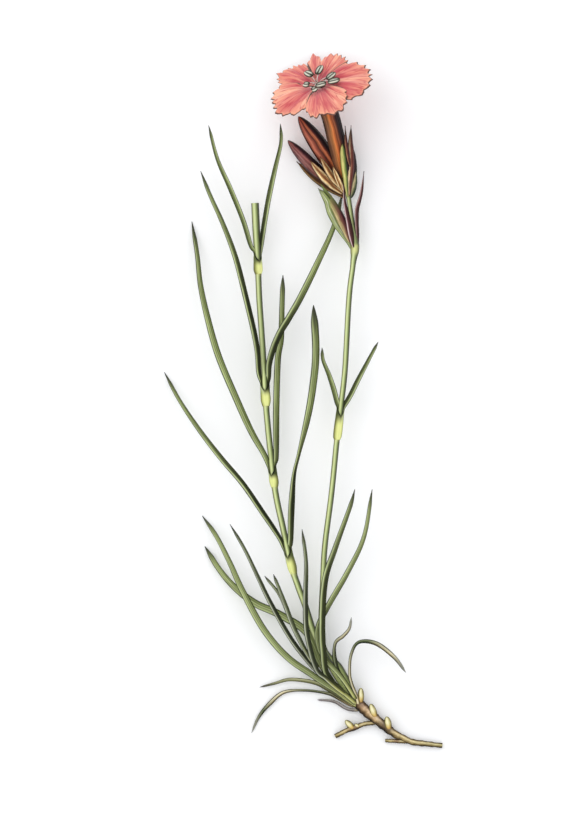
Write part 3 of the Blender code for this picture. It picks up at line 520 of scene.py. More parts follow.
# every blade look runs its ramps from the half towards the key lamp to the half away from it, which they
# paint darker as shade; the dark ramp, laid on by gloom, is painted shade
looks = {
    # living leaf, waxy bloom over olive green: dull, greyish where the light rakes it
    "leaf blade": {
        **leafGrain, "tip": "#34362A",
        "light": [(0, "#2A3018"), (0.09, "#434A2A"), (0.17, "#A9B47E"), (0.34, "#8E995F"),
                  (0.42, "#7C8850"), (0.5, "#BEC88E"), (0.57, "#6E7844"), (0.72, "#7E8A52"),
                  (0.84, "#606B3A"), (0.91, "#30361C"), (1, "#161C0A")],
        "dark": [(0, "#2E3422"), (0.09, "#4A5036"), (0.17, "#ABB48C"), (0.3, "#A4AE78"),
                 (0.4, "#667040"), (0.46, "#2A3014"), (0.7, "#191D08"), (0.9, "#23280E"),
                 (1, "#0E1204")]},
    # the glaucous leaves of the tuft, greyer
    "leaf blade with bloom": {
        **leafGrain, "roughness": 0.66, "tip": "#34362C", "sheath": footTones,
        "light": [(0, "#2E3224"), (0.09, "#484C3A"), (0.17, "#AEB498"), (0.34, "#929A70"),
                  (0.42, "#868E66"), (0.5, "#B6BAA2"), (0.57, "#6C744C"), (0.83, "#5A643C"),
                  (0.91, "#2E3220"), (1, "#1A1E10")],
        "dark": [(0, "#34382C"), (0.09, "#4C5040"), (0.17, "#B0B4A2"), (0.28, "#969A80"),
                 (0.4, "#5E644A"), (0.48, "#2C3120"), (0.78, "#1C2110"), (0.93, "#262B18"),
                 (1, "#12160A")]},
    # withered leaf, papery and bleached; where its gloom is high it turns dark grey-green, darkest as
    # painted shade on the half away from the lamp
    "withered leaf": {
        **driedGrain, "tip": "#83847A",
        "light": [(0, "#2E2818"), (0.15, "#54492E"), (0.28, "#EAE2C2"), (0.52, "#DCD2AC"),
                  (0.7, "#9A8C64"), (0.84, "#3E3420"), (1, "#1A160A")],
        "dark": [(0, "#22261A"), (0.15, "#4A5038"), (0.34, "#7C8662"), (0.5, "#3A4428"),
                 (0.85, "#20261A"), (1, "#10140A")]},
    # leaf half dried, olive and dull
    "drying leaf": {
        **driedGrain, "roughness": 0.78, "tip": "#55524A",
        "light": [(0, "#34341F"), (0.13, "#5A5A3A"), (0.26, "#C8C69E"), (0.6, "#9C9C70"),
                  (0.85, "#62623E"), (1, "#2A2A18")],
        "dark": [(0, "#36361F"), (0.18, "#808058"), (0.4, "#6C6E48"), (0.6, "#44462A"),
                 (0.85, "#303220"), (1, "#18190E")]},
    # dead outer leaf, grey-brown and thin
    "dead leaf": {
        **driedGrain, "roughness": 0.85, "patch": 2.5, "contrast": 0.22, "tip": "#8A8286",
        "light": [(0, "#4E4A44"), (0.2, "#A09A94"), (0.5, "#B4ACA8"), (0.8, "#746C68"),
                  (1, "#38342F")],
        "dark": [(0, "#403C38"), (0.2, "#7C766C"), (0.5, "#6A645A"), (0.8, "#45403A"),
                 (1, "#242120")]},
    # bract below the flower, pale papery edge round a golden brown middle
    "straw scale": {
        **scaleGrain, "contrast": 0.4, "tipFrom": 0.86, "tip": "#5A3A1C",
        "light": [(0, "#2E1E10"), (0.08, "#7A5634"), (0.16, "#F0DEB4"), (0.28, "#DDBD84"),
                  (0.38, "#A87242"), (0.47, "#5E351E"), (0.56, "#A87242"), (0.68, "#DDBD84"),
                  (0.78, "#E8D2A2"), (0.86, "#8A6038"), (0.93, "#3A2212"), (1, "#1A0E06")],
        "dark": [(0, "#3A2412"), (0.1, "#8A6034"), (0.2, "#D0A868"), (0.4, "#A06C3C"),
                 (0.55, "#643820"), (0.8, "#40200F"), (1, "#1C0E08")]},
    # scale tan on the half towards the lamp and chestnut to wine on the other, deepened to near black by
    # painted shade; nearly black where its gloom of painted shade is high
    "brown scale": {
        **scaleGrain, "roughness": 0.55, "tip": "#3A2218",
        "light": [(0, "#44442A"), (0.08, "#827C50"), (0.2, "#C4B282"), (0.42, "#AA9464"),
                  (0.54, "#84604A"), (0.64, "#6E4238"), (0.8, "#4E2428"), (0.9, "#321218"),
                  (1, "#1C0A0C")],
        "dark": [(0, "#20120A"), (0.08, "#4A2E1C"), (0.16, "#BC9866"), (0.23, "#8A6038"),
                 (0.32, "#5E3A24"), (0.6, "#5C2E22"), (0.7, "#8A6038"),
                 (0.79, "#B48C5C"), (0.86, "#5A2E22"), (0.94, "#2A1412"), (1, "#140808")]},
    # scale on the far side of the calyx, cream along its margin, wine-brown beyond it
    "wine scale": {
        **scaleGrain, "roughness": 0.5, "lanes": 4.0, "tipFrom": 0.5, "tip": "#2E1E18",
        "light": [(0, "#54382A"), (0.07, "#C89E70"), (0.18, "#F2DCB0"), (0.27, "#8E5A44"),
                  (0.4, "#643028"), (0.7, "#46201E"), (0.88, "#2A1012"), (1, "#120808")],
        "dark": [(0, "#3A2218"), (0.12, "#A87A58"), (0.3, "#5E2A26"), (0.6, "#3A181C"),
                 (1, "#120808")]},
    # bract that is still green, with a whitish papery margin
    "green bract": {
        **scaleGrain, "lanes": 3.5, "patch": 2.5, "contrast": 0.28, "tip": "#4A5040",
        "light": [(0, "#38441F"), (0.08, "#66783F"), (0.16, "#AEBE86"), (0.34, "#98AC70"),
                  (0.46, "#DAE0BC"), (0.54, "#829456"), (0.7, "#A8B070"), (0.84, "#627238"),
                  (0.94, "#343E1C"), (1, "#1A220E")],
        "dark": [(0, "#3A3420"), (0.1, "#8A8258"), (0.22, "#E0D0A0"), (0.42, "#C4B688"),
                 (0.52, "#6E7450"), (0.68, "#3A4630"), (0.86, "#242E1C"), (1, "#12180C")]},
    # scale over the calyx, yellow with green stripes
    "yellow scale": {
        **scaleGrain, "roughness": 0.55, "lanes": 3.5, "patch": 2.5, "contrast": 0.26,
        "tipFrom": 0.93, "tip": "#4E5028",
        "light": [(0, "#4C4C24"), (0.1, "#A09C54"), (0.25, "#D4CE80"), (0.42, "#B6B668"),
                  (0.55, "#84924A"), (0.7, "#566832"), (0.85, "#3E4A1E"), (1, "#1E240E")],
        "dark": [(0, "#4A5028"), (0.3, "#8A9448"), (0.6, "#5E6A30"), (1, "#262C14")]},
    # purple-brown bract drawn out into an awn, with a whitish margin
    "purple awn": {
        **scaleGrain, "roughness": 0.55, "patch": 2.5, "contrast": 0.2, "tipFrom": 0.9,
        "tip": "#3A2028",
        "light": [(0, "#7A5A5C"), (0.12, "#E6D2CA"), (0.24, "#A88088"), (0.34, "#543030"),
                  (0.6, "#3E1C18"), (0.85, "#2A140C"), (1, "#1A0C08")],
        "dark": [(0, "#4A3030"), (0.08, "#C8A8A0"), (0.15, "#8A605C"), (0.24, "#4E2A28"),
                 (0.6, "#341A16"), (0.85, "#22100C"), (1, "#140806")]},
}
# a brown scale that is still green at its tip
looks["green-tipped scale"] = {**looks["brown scale"], "tipFrom": 0.4, "tip": "#76874C"}
# the lowest leaves, turned flat side up and the palest green
looks["tuft leaf"] = {
    **looks["leaf blade"], "contrast": 0.26, "sheath": footTones,
    "light": [(0, "#30371C"), (0.09, "#4C5430"), (0.17, "#B4BE8A"), (0.34, "#9CA66C"),
              (0.42, "#8A965C"), (0.5, "#C6CE98"), (0.57, "#808A54"), (0.72, "#8E9A60"),
              (0.84, "#6E7846"), (0.91, "#3A4022"), (1, "#1A200E")]}
bladeFinishes = {name: makeBladeFinish(name, look) for name, look in looks.items()}


# Leaves and scales

grass = {
    "base": 0.7, "fullBy": 0.3,                # share of its width at the foot, and where it is full
    "narrowing": 0.38, "narrowsFrom": 0.5,     # share that it has lost by the tip
    "point": 0.065, "pointPower": 0.7,         # length and bluntness of the point
    "least": 0.14}
# blade halves that lie this way, away from the key lamp, get painted shade
shadeWay = Vector((0.8, -0.6, 0))              # away from the key lamp


def grassWidth(width, base, narrowing):
    # narrower at the base, wide for most of its length, then a short blunt point
    def at(t):
        swell = mix(base, 1, smooth(0, grass["fullBy"], t))
        taper = 1 - narrowing * smooth(grass["narrowsFrom"], 1, t)
        point = min(1, (1 - t) / grass["point"]) ** grass["pointPower"]
        return max(grass["least"], width * swell * taper * point)
    return at


def paintedShadeHalf(path):
    # which half of a blade lies to the lower right, away from the key lamp: that half gets painted shade
    side = (path[-1] - path[0]).cross(up)
    return 1.0 if side.dot(shadeWay) > 0 else -1.0


def growBlade(name, path, halfWidths, curls, facings, finish, gloom, sheaths=None, dark=None,
              **shape):
    count = len(path)
    settings = {"Seed": float(len(bpy.data.objects)), "Material": bladeFinishes[finish], **shape}
    return growAlong(name, path, bladeTree, settings, {
        "halfWidth": halfWidths, "curl": curls, "facing": facings,
        "sheath": sheaths or [0.0] * count, "gloom": gloom,
        "paintedShadeSign": [dark or paintedShadeHalf(path)] * count})


basalLeaves = {
    # route, width, gloom: how much painted shade darkens its half away from the lamp, finish
    "basal_leaf_1": ([
        (-0.9, -0.3, 3.15), (-2.9, 1.1, 3.1), (-5.2, 2.9, 3.0), (-7.5, 4.4, 3.1),
        (-11.25, 7.0, 3.4), (-17.5, 11.5, 4.2), (-23.25, 18.25, 4.9), (-28.5, 27.75, 5.2),
        (-31.9, 35.25, 4.4), (-35.25, 41.75, 2.4), (-38.75, 46.75, 0.25)], 1.75, 0.25,
        "tuft leaf"),
    "basal_leaf_2": ([
        (-5.4, 3.9, 1.5), (-6.6, 5.8, 1.7), (-9.3, 10.2, 2.2), (-11.0, 14.6, 2.5),
        (-13.5, 18.5, 2.8), (-20.25, 22.5, 2.9), (-25.25, 24.75, 2.8), (-30.25, 28.5, 2.4),
        (-34.25, 33.0, 1.6), (-38.1, 39.1, 0.25)], 2.1, 0.05, "tuft leaf"),
    "basal_leaf_3": ([
        (-0.9, 0.6, 4.0), (-2.6, 1.9, 4.0), (-4.8, 3.7, 4.1), (-8.0, 6.4, 4.4),
        (-11.25, 9.25, 4.7), (-16.5, 16.0, 5.8), (-21.75, 25.25, 7.2), (-24.75, 31.5, 8.0),
        (-28.1, 38.5, 8.6), (-31.75, 44.75, 9.0)], 1.3, 1.0, "leaf blade with bloom"),
    "basal_leaf_4": ([
        (-3.2, 2.2, 5.9), (-5.3, 3.8, 6.0), (-7.8, 6.2, 6.4), (-10.25, 8.75, 6.9),
        (-12.5, 17.25, 7.8), (-12.9, 25.75, 9.0), (-12.75, 35.25, 10.2),
        (-13.75, 43.5, 11.0)], 1.4, 0.95, "leaf blade with bloom"),
    "basal_leaf_5": ([
        (-1.7, 1.2, 4.9), (-3.5, 2.7, 4.9), (-5.8, 4.8, 5.1), (-7.6, 7.3, 5.6),
        (-8.25, 10.5, 6.2), (-8.75, 19.5, 7.0), (-8.0, 30.75, 8.6), (-5.4, 39.0, 10.4),
        (-1.75, 49.25, 13.0), (-0.6, 53.5, 14.2)], 1.75, 0.95, "tuft leaf"),
    "basal_leaf_6": ([
        (-1.3, 3.0, 5.3), (-3.0, 5.2, 5.5), (-5.0, 7.8, 5.5), (-7.6, 10.6, 5.1),
        (-9.4, 13.75, 5.3), (-9.75, 18.75, 5.8), (-7.25, 24.25, 6.6), (-2.25, 33.0, 8.4),
        (1.75, 41.75, 10.0), (3.75, 53.5, 12.0)], 1.5, 0.45, "tuft leaf"),
    "withered_leaf_1": ([
        (-1.6, 2.8, 3.6), (-2.7, 4.6, 4.1), (-4.2, 6.9, 4.4), (-5.3, 9.6, 4.4),
        (-5.7, 12.5, 4.9), (-5.3, 15.2, 5.4), (-3.4, 16.8, 5.9), (-1.9, 18.7, 6.4),
        (-1.4, 21.5, 6.9)], (0.9, 1.1, 1.15, 0.95, 1.25, 0.8, 0.95, 0.8, 0.45),
        (0.9, 0.9, 0.95, 0.95, 0.95, 0.85, 0.35, 0.25, 0.5), "withered leaf"),
    "withered_leaf_2": ([
        (0.4, 0.2, 3.2), (-0.4, 2.3, 4.0), (-1.4, 5.0, 4.7), (-1.85, 7.5, 5.2),
        (-1.5, 12.0, 6.2), (0.4, 15.2, 7.0), (4.75, 14.9, 6.6), (9.25, 11.5, 4.8),
        (12.25, 7.5, 2.8)], (0.85, 0.9, 0.8, 0.75, 0.75, 0.8, 1.1, 1.2, 1.15, 0.9, 0.6),
        (0.1, 0.1, 0.2, 0.3, 0.6, 1.0, 1.0, 0.35, 0.1, 0.4, 0.8), "withered leaf"),
    "withered_leaf_3": ([
        (-2.1, -0.5, 2.2), (-3.0, 0.6, 2.0), (-4.6, 1.6, 1.7), (-7.25, 3.25, 1.5),
        (-10.75, 5.0, 1.5), (-16.6, 5.75, 1.3), (-20.6, 4.75, 0.8), (-24.4, 3.75, 0.25)],
        (0.8, 0.9, 1.0, 1.05, 1.0, 0.9, 0.7, 0.4), (0.5, 0.7, 0.6, 0.3, 0.2, 0.3, 0.6, 0.9),
        "drying leaf"),
    "withered_leaf_4": ([
        (-2.3, -0.4, 0.9), (-4.2, 0.9, 0.7), (-7.25, 2.2, 0.6), (-13.0, 3.0, 0.7),
        (-18.35, 2.5, 0.6), (-22.0, -0.5, 0.5), (-24.6, -3.75, 0.4), (-26.4, -7.75, 0.25)],
        (1.2, 1.2, 0.9, 0.65, 0.65, 0.7, 0.95, 1.15, 0.95, 0.7, 0.4),
        (0.0, 0.1, 0.7, 0.9, 0.9, 0.6, 0.0, 0.3, 1.0, 0.7, 0.2), "withered leaf"),
    "withered_leaf_5": ([
        (0.9, -1.9, 0.9), (-1.2, -1.9, 0.8), (-2.9, -1.4, 0.7), (-5.85, 0.25, 0.5),
        (-9.9, 0.6, 0.25)],
        (0.7, 0.8, 0.85, 0.75, 0.6, 0.4), (0.6, 0.3, 0.1, 0.4, 0.3, 0.5), "dead leaf"),
}
tuft = {
    "curl": 1.6, "points": 90, "ruffle": 0.1, "witheredRuffle": 0.5,
    "paleFoot": 0.75, "paleBetween": (0.03, 0.17),
    # share of painted shade that the living leaves lose towards the tip, and the shares over which they
    # lose it
    "gloomLost": 0.5, "gloomLostBetween": (0.55, 0.95),
    "witheredPoint": 0.05, "witheredTip": 0.15,          # length of the point, width at its tip
    "neck": (0.1, -0.7, 1.7),                            # where the leaves nearest to it start
    "neckReach": 5.5, "neckShares": (0.2, 0.65), "besideNeck": "withered_leaf_5"}
youngPair = {
    # route, width, gloom of painted shade
    "basal_leaf_pair_fine": ([
        (-9.7, 8.8, 5.6), (-12.0, 11.5, 6.0), (-15.6, 18.4, 7.0), (-18.3, 25.6, 8.2),
        (-20.9, 32.25, 9.4)], 1.3, 0.7),
    "short_leaf": ([
        (-12.0, 11.5, 6.0), (-15.6, 18.4, 7.0), (-19.1, 26.6, 7.9), (-23.1, 31.8, 8.2)], 1.1, 0.5)}


def alongList(numbers, share):
    place = share * (len(numbers) - 1)
    k = min(int(place), len(numbers) - 2)
    return mix(numbers[k], numbers[k + 1], place - k)


def basalBlade(name, route, width, gloom, finish):
    # a withered leaf gives its width and its gloom of painted shade at even steps from foot to tip
    path = curvePoints(route, tuft["points"])
    count = len(path)
    shares = evenShares(count)
    withered = isinstance(width, tuple)
    if withered:
        wide = [alongList(width, t) * min(1, (1 - t) / tuft["witheredPoint"] + tuft["witheredTip"]) / 2
                for t in shares]
        glooms = [alongList(gloom, t) for t in shares]
    else:
        body = grassWidth(width, grass["base"], grass["narrowing"])
        wide = [body(t) / 2 for t in shares]
        glooms = [gloom * (1 - tuft["gloomLost"] * smooth(*tuft["gloomLostBetween"], t))
                  for t in shares]
    pale = [tuft["paleFoot"] * (1 - smooth(*tuft["paleBetween"], t)) for t in shares]
    return growBlade(name, path, wide, [tuft["curl"]] * count, [up] * count, finish, glooms, pale,
                     Ruffle=tuft["witheredRuffle"] if withered else tuft["ruffle"])


def makeTuft():
    neck = Vector(tuft["neck"])
    for name, (route, width, gloom, finish) in basalLeaves.items():
        first = Vector(route[0])
        if (first - neck).length < tuft["neckReach"] and name != tuft["besideNeck"]:
            route = [neck.lerp(first, share) for share in tuft["neckShares"]] + route[1:]
        blade = basalBlade(name + "_fine", route, width, gloom, finish)
        standFor(blade, name)
    pair = [basalBlade(name, *row, "leaf blade with bloom") for name, row in youngPair.items()]
    standFor(joinAll(pair), "basal_leaf_pair")
    print("tuft ready")


makeTuft()


# Stems, with a swollen node under each pair of leaves

leafyRoute = [
    (-1.5, 2.0, 2.1), (-3.2, 4.3, 2.4), (-4.8, 6.5, 2.8), (-8.5, 12.75, 3.6),
    (-11.0, 18.25, 4.4), (-13.0, 24.5, 5.2), (-14.75, 29.25, 5.7), (-16.4, 34.5, 6.0),
    (-18.6, 44.25, 6.2), (-20.5, 53.5, 6.2), (-22.2, 68.25, 6.1), (-22.85, 76.25, 6.0),
    (-23.5, 87.75, 5.9), (-24.4, 100.75, 5.7), (-24.75, 109.0, 5.5), (-25.5, 125.0, 5.4)]
scapeRoute = [
    (0.0, 0.2, 1.3), (-1.9, 4.4, 1.3), (-4.4, 9.0, 1.2), (-8.0, 13.0, 1.4), (-8.9, 19.5, 2.6),
    (-8.5, 30.75, 4.4), (-8.0, 39.5, 5.4), (-6.35, 52.5, 6.2), (-5.1, 65.0, 6.5), (-4.1, 73.75, 6.5),
    (-3.0, 83.25, 6.3), (-2.0, 101.0, 5.6), (-1.0, 109.5, 5.0), (-0.5, 114.75, 4.6),
    (-1.25, 120.75, 4.1), (-2.15, 126.9, 3.7), (-2.35, 128.3, 3.9)]
leafyStem = {
    # radii at heights up the picture; sheaths: start, length, turn of the pair, the stem's radius
    "route": leafyRoute,
    "radii": ((2, 1.05), (11, 0.8), (90, 0.74), (112, 0.76), (115, 0.9), (118, 0.95), (125, 0.95)),
    "sheaths": [(32.3, 4.4, 30, 0.85), (53.9, 3.2, 30, 0.85), (74.2, 4.0, 0, 0.82),
                (107.2, 3.3, -35, 0.82)], "sheathScale": 1.0}
scape = {
    "route": scapeRoute,
    "radii": ((0, 0.72), (90, 0.7), (109.5, 0.68), (112.5, 0.9), (114.2, 1.1), (116, 0.9), (118.5, 0.62),
              (126.4, 0.56), (128.3, 1.0)),
    "sheaths": [(65.8, 6.0, -20, 0.7), (112.4, 2.3, 0, 1.08)], "sheathScale": 0.88}
stemShape = {"Rings": 400, "Sides": 32, "Ribs": 6.0, "Rib depth": 0.02}
swell = {"below": 1.0, "above": 0.9, "inside": 0.5, "beyond": 0.2}     # mm round a sheath's two ends
sheath = {"radii": (0.82, 0.98, 0.9), "bellyAt": 0.35,       # at foot, belly and mouth
          "halfTurn": math.radians(100)}


roundGrain = {"detail": 3.0, "streaksBetween": (0.3, 0.7), "lightening": 0.6, "strength": 0.35}


def makeRoundFinish(name, look):
    # round pieces: a tone for each side of the stalk, which paints highlights and shade across it, times
    # a colour for the place along it
    material, tree, known = startFinish(name, look["roughness"], look["specular"], "along")
    ring = addNode(tree, "ShaderNodeAttribute", attribute_name="ring").outputs["Vector"]
    known["rightward"] = addNode(tree, "ShaderNodeSeparateXYZ", {0: ring}).outputs[0]
    addSteps(tree, "ShaderNodeMath", known, ("far", "MULTIPLY", "along", look["lengthScale"]))
    lane = addNode(tree, "ShaderNodeVectorMath", {
        0: ring, 1: (look["lanes"],) * 3,
        2: addNode(tree, "ShaderNodeCombineXYZ", {2: known["far"]}).outputs[0]},
        operation="MULTIPLY_ADD").outputs[0]
    streaks, known["cloud"] = addGrain(tree, lane, look["patch"], roundGrain["detail"])
    known["streaks"] = streaks
    addSteps(tree, "ShaderNodeMath", known,
             ("drift", "ADD", "cloud", "streaks"), ("drift", "SUBTRACT", "drift", 1.0),
             # place runs across the stalk from one side to the other, level with the floor; the sides
             # ramp paints light and shade along it
             ("place", "MULTIPLY_ADD", "rightward", 0.5, 0.5),
             ("place", "MULTIPLY_ADD", "drift", look["drift"], "place"))
    ramps = {key: addNode(tree, "ShaderNodeValToRGB", {0: known[place]}, stops=look[key]).outputs[0]
             for key, place in (("sides", "place"), ("lengths", "along"), ("swelling", "place"))
             if key in look}
    layers = [(1.0, ramps["lengths"], "MULTIPLY")]
    if "swelling" in look:
        swollen = addNode(tree, "ShaderNodeAttribute", attribute_name="swelling").outputs["Fac"]
        layers.append((swollen, ramps["swelling"], "MIX"))
    weakest, strongest = roundGrain["streaksBetween"]
    shade = addNode(tree, "ShaderNodeMapRange", {
        0: streaks, 1: weakest, 2: strongest, 3: 1 - look["contrast"],
        4: 1 + roundGrain["lightening"] * look["contrast"]})
    layers.append((1.0, shade.outputs[0], "MULTIPLY"))
    return endFinish(material, ramps["sides"], layers, known["drift"], roundGrain["strength"],
                     look["relief"])


barkGrain = {"roughness": 0.75, "specular": 0.2, "lanes": 1.6, "patch": 1.1, "drift": 0.2}
calyxGrain = {"roughness": 0.5, "specular": 0.2, "lengthScale": 2.4, "lanes": 4.0, "patch": 3.0,
              "drift": 0.15, "contrast": 0.45, "relief": 0.08}
roundLooks = {
    # stem skin, smooth and waxy: yellow-green, with a painted highlight left of its middle and painted
    # shade on the side away from the light
    "stem skin": {
        "roughness": 0.45, "specular": 0.4, "lengthScale": 14.0, "lanes": 2.2, "patch": 8.0,
        "drift": 0.12, "contrast": 0.12, "relief": 0.04,
        "sides": [(0, "#3C3E22"), (0.1, "#707648"), (0.2, "#B4C084"), (0.36, "#DAE4AA"),
                  (0.5, "#B6C486"), (0.64, "#828F58"), (0.8, "#515A32"), (0.9, "#32381E"),
                  (1, "#20260F")],
        "lengths": [(0, "#E9EDC0"), (0.12, "#FFFFF4"), (1, "#FFFFF8")],
        # the swollen node's yellow, with the same painted highlight and shade across it
        "swelling": [(0, "#5A5A30"), (0.12, "#B0B26C"), (0.35, "#DCDE96"), (0.65, "#C6C87E"),
                     (0.85, "#84864A"), (1, "#3E4022")]},
    # bark of the creeping rootstock, corky and scarred: tan, with a painted highlight along its upper
    # side and painted shade, nearly black, underneath
    "root bark": {
        **barkGrain, "lengthScale": 26.0, "contrast": 0.32, "relief": 0.12,
        "sides": [(0, "#1E180E"), (0.13, "#3A301E"), (0.25, "#766748"), (0.4, "#AC9C78"),
                  (0.54, "#D2C6A4"), (0.68, "#E6DCC0"), (0.8, "#A8987A"), (0.9, "#574A34"),
                  (1, "#2C2416")],
        "lengths": [(0, "#DCDCBC"), (0.2, "#F4F0D4"), (0.46, "#FBF0D4"), (0.52, "#A89C92"),
                    (0.6, "#9A8E8A"), (0.66, "#FFF0E4"), (0.8, "#FFE8DC"), (0.86, "#C8B0A8"),
                    (0.92, "#8C7E7C"), (0.97, "#807870"), (1, "#9CA274")]},
    # younger bark of the two branches: smoother and straw-coloured, with a painted highlight along its
    # top and painted shade underneath
    "root branch": {
        **barkGrain, "lengthScale": 12.0, "contrast": 0.3, "relief": 0.1,
        "sides": [(0, "#1E180E"), (0.14, "#40361F"), (0.28, "#847556"), (0.44, "#C4B894"),
                  (0.62, "#E6DCC0"), (0.78, "#B4A784"), (0.9, "#5A4C32"), (1, "#2E2616")],
        "lengths": [(0, "#D8CCAC"), (0.35, "#FBF4D8"), (0.5, "#B49C92"), (0.62, "#C8B4A0"),
                    (0.75, "#FBF2D4"), (1, "#C8BE94")]},
    # young bud on the rootstock, juicy and pale, golden at its foot
    "root bud": {
        "roughness": 0.4, "specular": 0.45, "lengthScale": 3.0, "lanes": 1.2, "patch": 1.0,
        "drift": 0.25, "contrast": 0.08, "relief": 0.03,
        "sides": [(0, "#4E4A28"), (0.13, "#98905E"), (0.26, "#ECE6C2"), (0.52, "#F8F4DE"),
                  (0.74, "#C6BE8E"), (0.88, "#7C7244"), (1, "#4E4424")],
        "lengths": [(0, "#C89C54"), (0.25, "#E6D08E"), (0.5, "#FAF6DC"), (0.9, "#F4F2D6"),
                    (1, "#B8B480")]},
    # calyx, firm and lightly ribbed: rust and orange streaks, brightest in a painted highlight left of
    # its middle, with painted shade, almost black, on its far side
    "calyx skin": {
        **calyxGrain, "lengthScale": 2.0, "drift": 0.13,
        "sides": [(0, "#3A2414"), (0.08, "#5E3C24"), (0.18, "#8E6040"), (0.28, "#A8703F"),
                  (0.4, "#D88448"), (0.47, "#B86430"), (0.55, "#7C4024"), (0.61, "#9A5A38"),
                  (0.68, "#5A2C1C"), (0.76, "#2A1416"), (0.9, "#1C0C10"), (1, "#0E0606")],
        "lengths": [(0, "#C8B890"), (0.25, "#F0D8B8"), (0.6, "#FFFFFF"), (1, "#F4DCD0")]},
    # skin of the tall bud, still shut: two rust-red bands either side of a dark furrow, the one towards
    # the light paler as a painted highlight, and painted shade, almost black, on its far side
    "bud skin": {
        **calyxGrain,
        "sides": [(0, "#34160E"), (0.08, "#7A3C2A"), (0.2, "#BA6C54"), (0.32, "#8E4634"),
                  (0.42, "#4C241C"), (0.48, "#B0603E"), (0.58, "#CA7850"), (0.66, "#6E362E"),
                  (0.76, "#2E141A"), (0.9, "#1C0C10"), (1, "#0E0606")],
        "lengths": [(0, "#D8C8A0"), (0.3, "#F8E8D8"), (0.75, "#FFFFFF"), (1, "#C89C98")]},
    # skin of the low bud: dull mauve-brown, mottled in small patches, with a painted highlight towards
    # the light and painted shade on its far side
    "purple bud skin": {
        **calyxGrain, "lanes": 3.4, "patch": 1.6, "drift": 0.3, "contrast": 0.42,
        "sides": [(0, "#34181C"), (0.1, "#6E4446"), (0.26, "#B08078"), (0.42, "#80504E"),
                  (0.56, "#A06A62"), (0.72, "#52303A"), (0.86, "#2E1A22"), (1, "#180A0E")],
        "lengths": [(0, "#C8A884"), (0.4, "#E4C4B4"), (0.7, "#FFF4F4"), (1, "#D0B0B0")]},
    # skin of the small bud on the right: a tan edge towards the light as a painted highlight, and dark
    # wine behind, deepened by painted shade
    "right bud skin": {
        **calyxGrain, "lengthScale": 3.0, "lanes": 2.2, "patch": 2.0, "drift": 0.2,
        "contrast": 0.3, "relief": 0.06,
        "sides": [(0, "#7A5A3C"), (0.1, "#E0C49A"), (0.2, "#C89070"), (0.32, "#8E4638"),
                  (0.55, "#6E3034"), (0.75, "#341820"), (1, "#160A0E")],
        "lengths": [(0, "#D8C890"), (0.3, "#F0E0D0"), (1, "#FFFFFF")]},
    # pollen sac: dark olive skin, split along a pale seam
    "anther": {
        "roughness": 0.6, "specular": 0.3, "lengthScale": 3.0, "lanes": 2.0, "patch": 0.8,
        "drift": 0.15, "contrast": 0.15, "relief": 0.03,
        "sides": [(0, "#2E2E24"), (0.2, "#3E3E34"), (0.34, "#B4B4A0"), (0.5, "#EEEEDE"),
                  (0.66, "#B0B09C"), (0.8, "#44443A"), (1, "#2A2A20")],
        "lengths": [(0, "#4A4A3E"), (0.1, "#8A8A7C"), (0.22, "#FFFFFF"), (0.78, "#FFFFFF"),
                    (0.9, "#8A8A7C"), (1, "#4A4A3E")]},
    # filament and style: thin, moist threads, near white, pinker at the foot
    "filament": {
        "roughness": 0.5, "specular": 0.4, "lengthScale": 3.0, "lanes": 2.0, "patch": 1.0,
        "drift": 0.1, "contrast": 0.1, "relief": 0.02,
        "sides": [(0, "#8A7A74"), (0.3, "#E2CFC6"), (0.6, "#F4E6DE"), (1, "#A08A84")],
        "lengths": [(0, "#D8B0A8"), (0.5, "#FFFFFF"), (1, "#F0F0E4")]},
}
roundFinishes = {name: makeRoundFinish(name, look) for name, look in roundLooks.items()}


def byMarks(marks, place):
    for (a, low), (b, high) in zip(marks, marks[1:]):
        if place <= b:
            return mix(low, high, max(0, (place - a) / (b - a)))
    return marks[-1][1]


def makeStem(name, stem):
    path = curvePoints(stem["route"], stemShape["Rings"])
    girths, swellings = [], []
    for p in path:
        girth, swelling = byMarks(stem["radii"], p.y), 0
        for start, long, turn, radius in stem["sheaths"]:
            end = start + long
            here = (smooth(start - swell["below"], start + swell["above"], p.y)
                    * (1 - smooth(end - swell["inside"], end + swell["beyond"], p.y)))
            girth = mix(girth, radius, here)
            swelling = max(swelling, here)
        girths.append(girth)
        swellings.append(swelling)
    tube = growAlong(name + "_fine", path, stalkTree,
                     {**stemShape, "Material": roundFinishes["stem skin"]},
                     {"girth": girths, "swelling": swellings})
    standFor(tube, name)
    print(name, "ready")
    return path


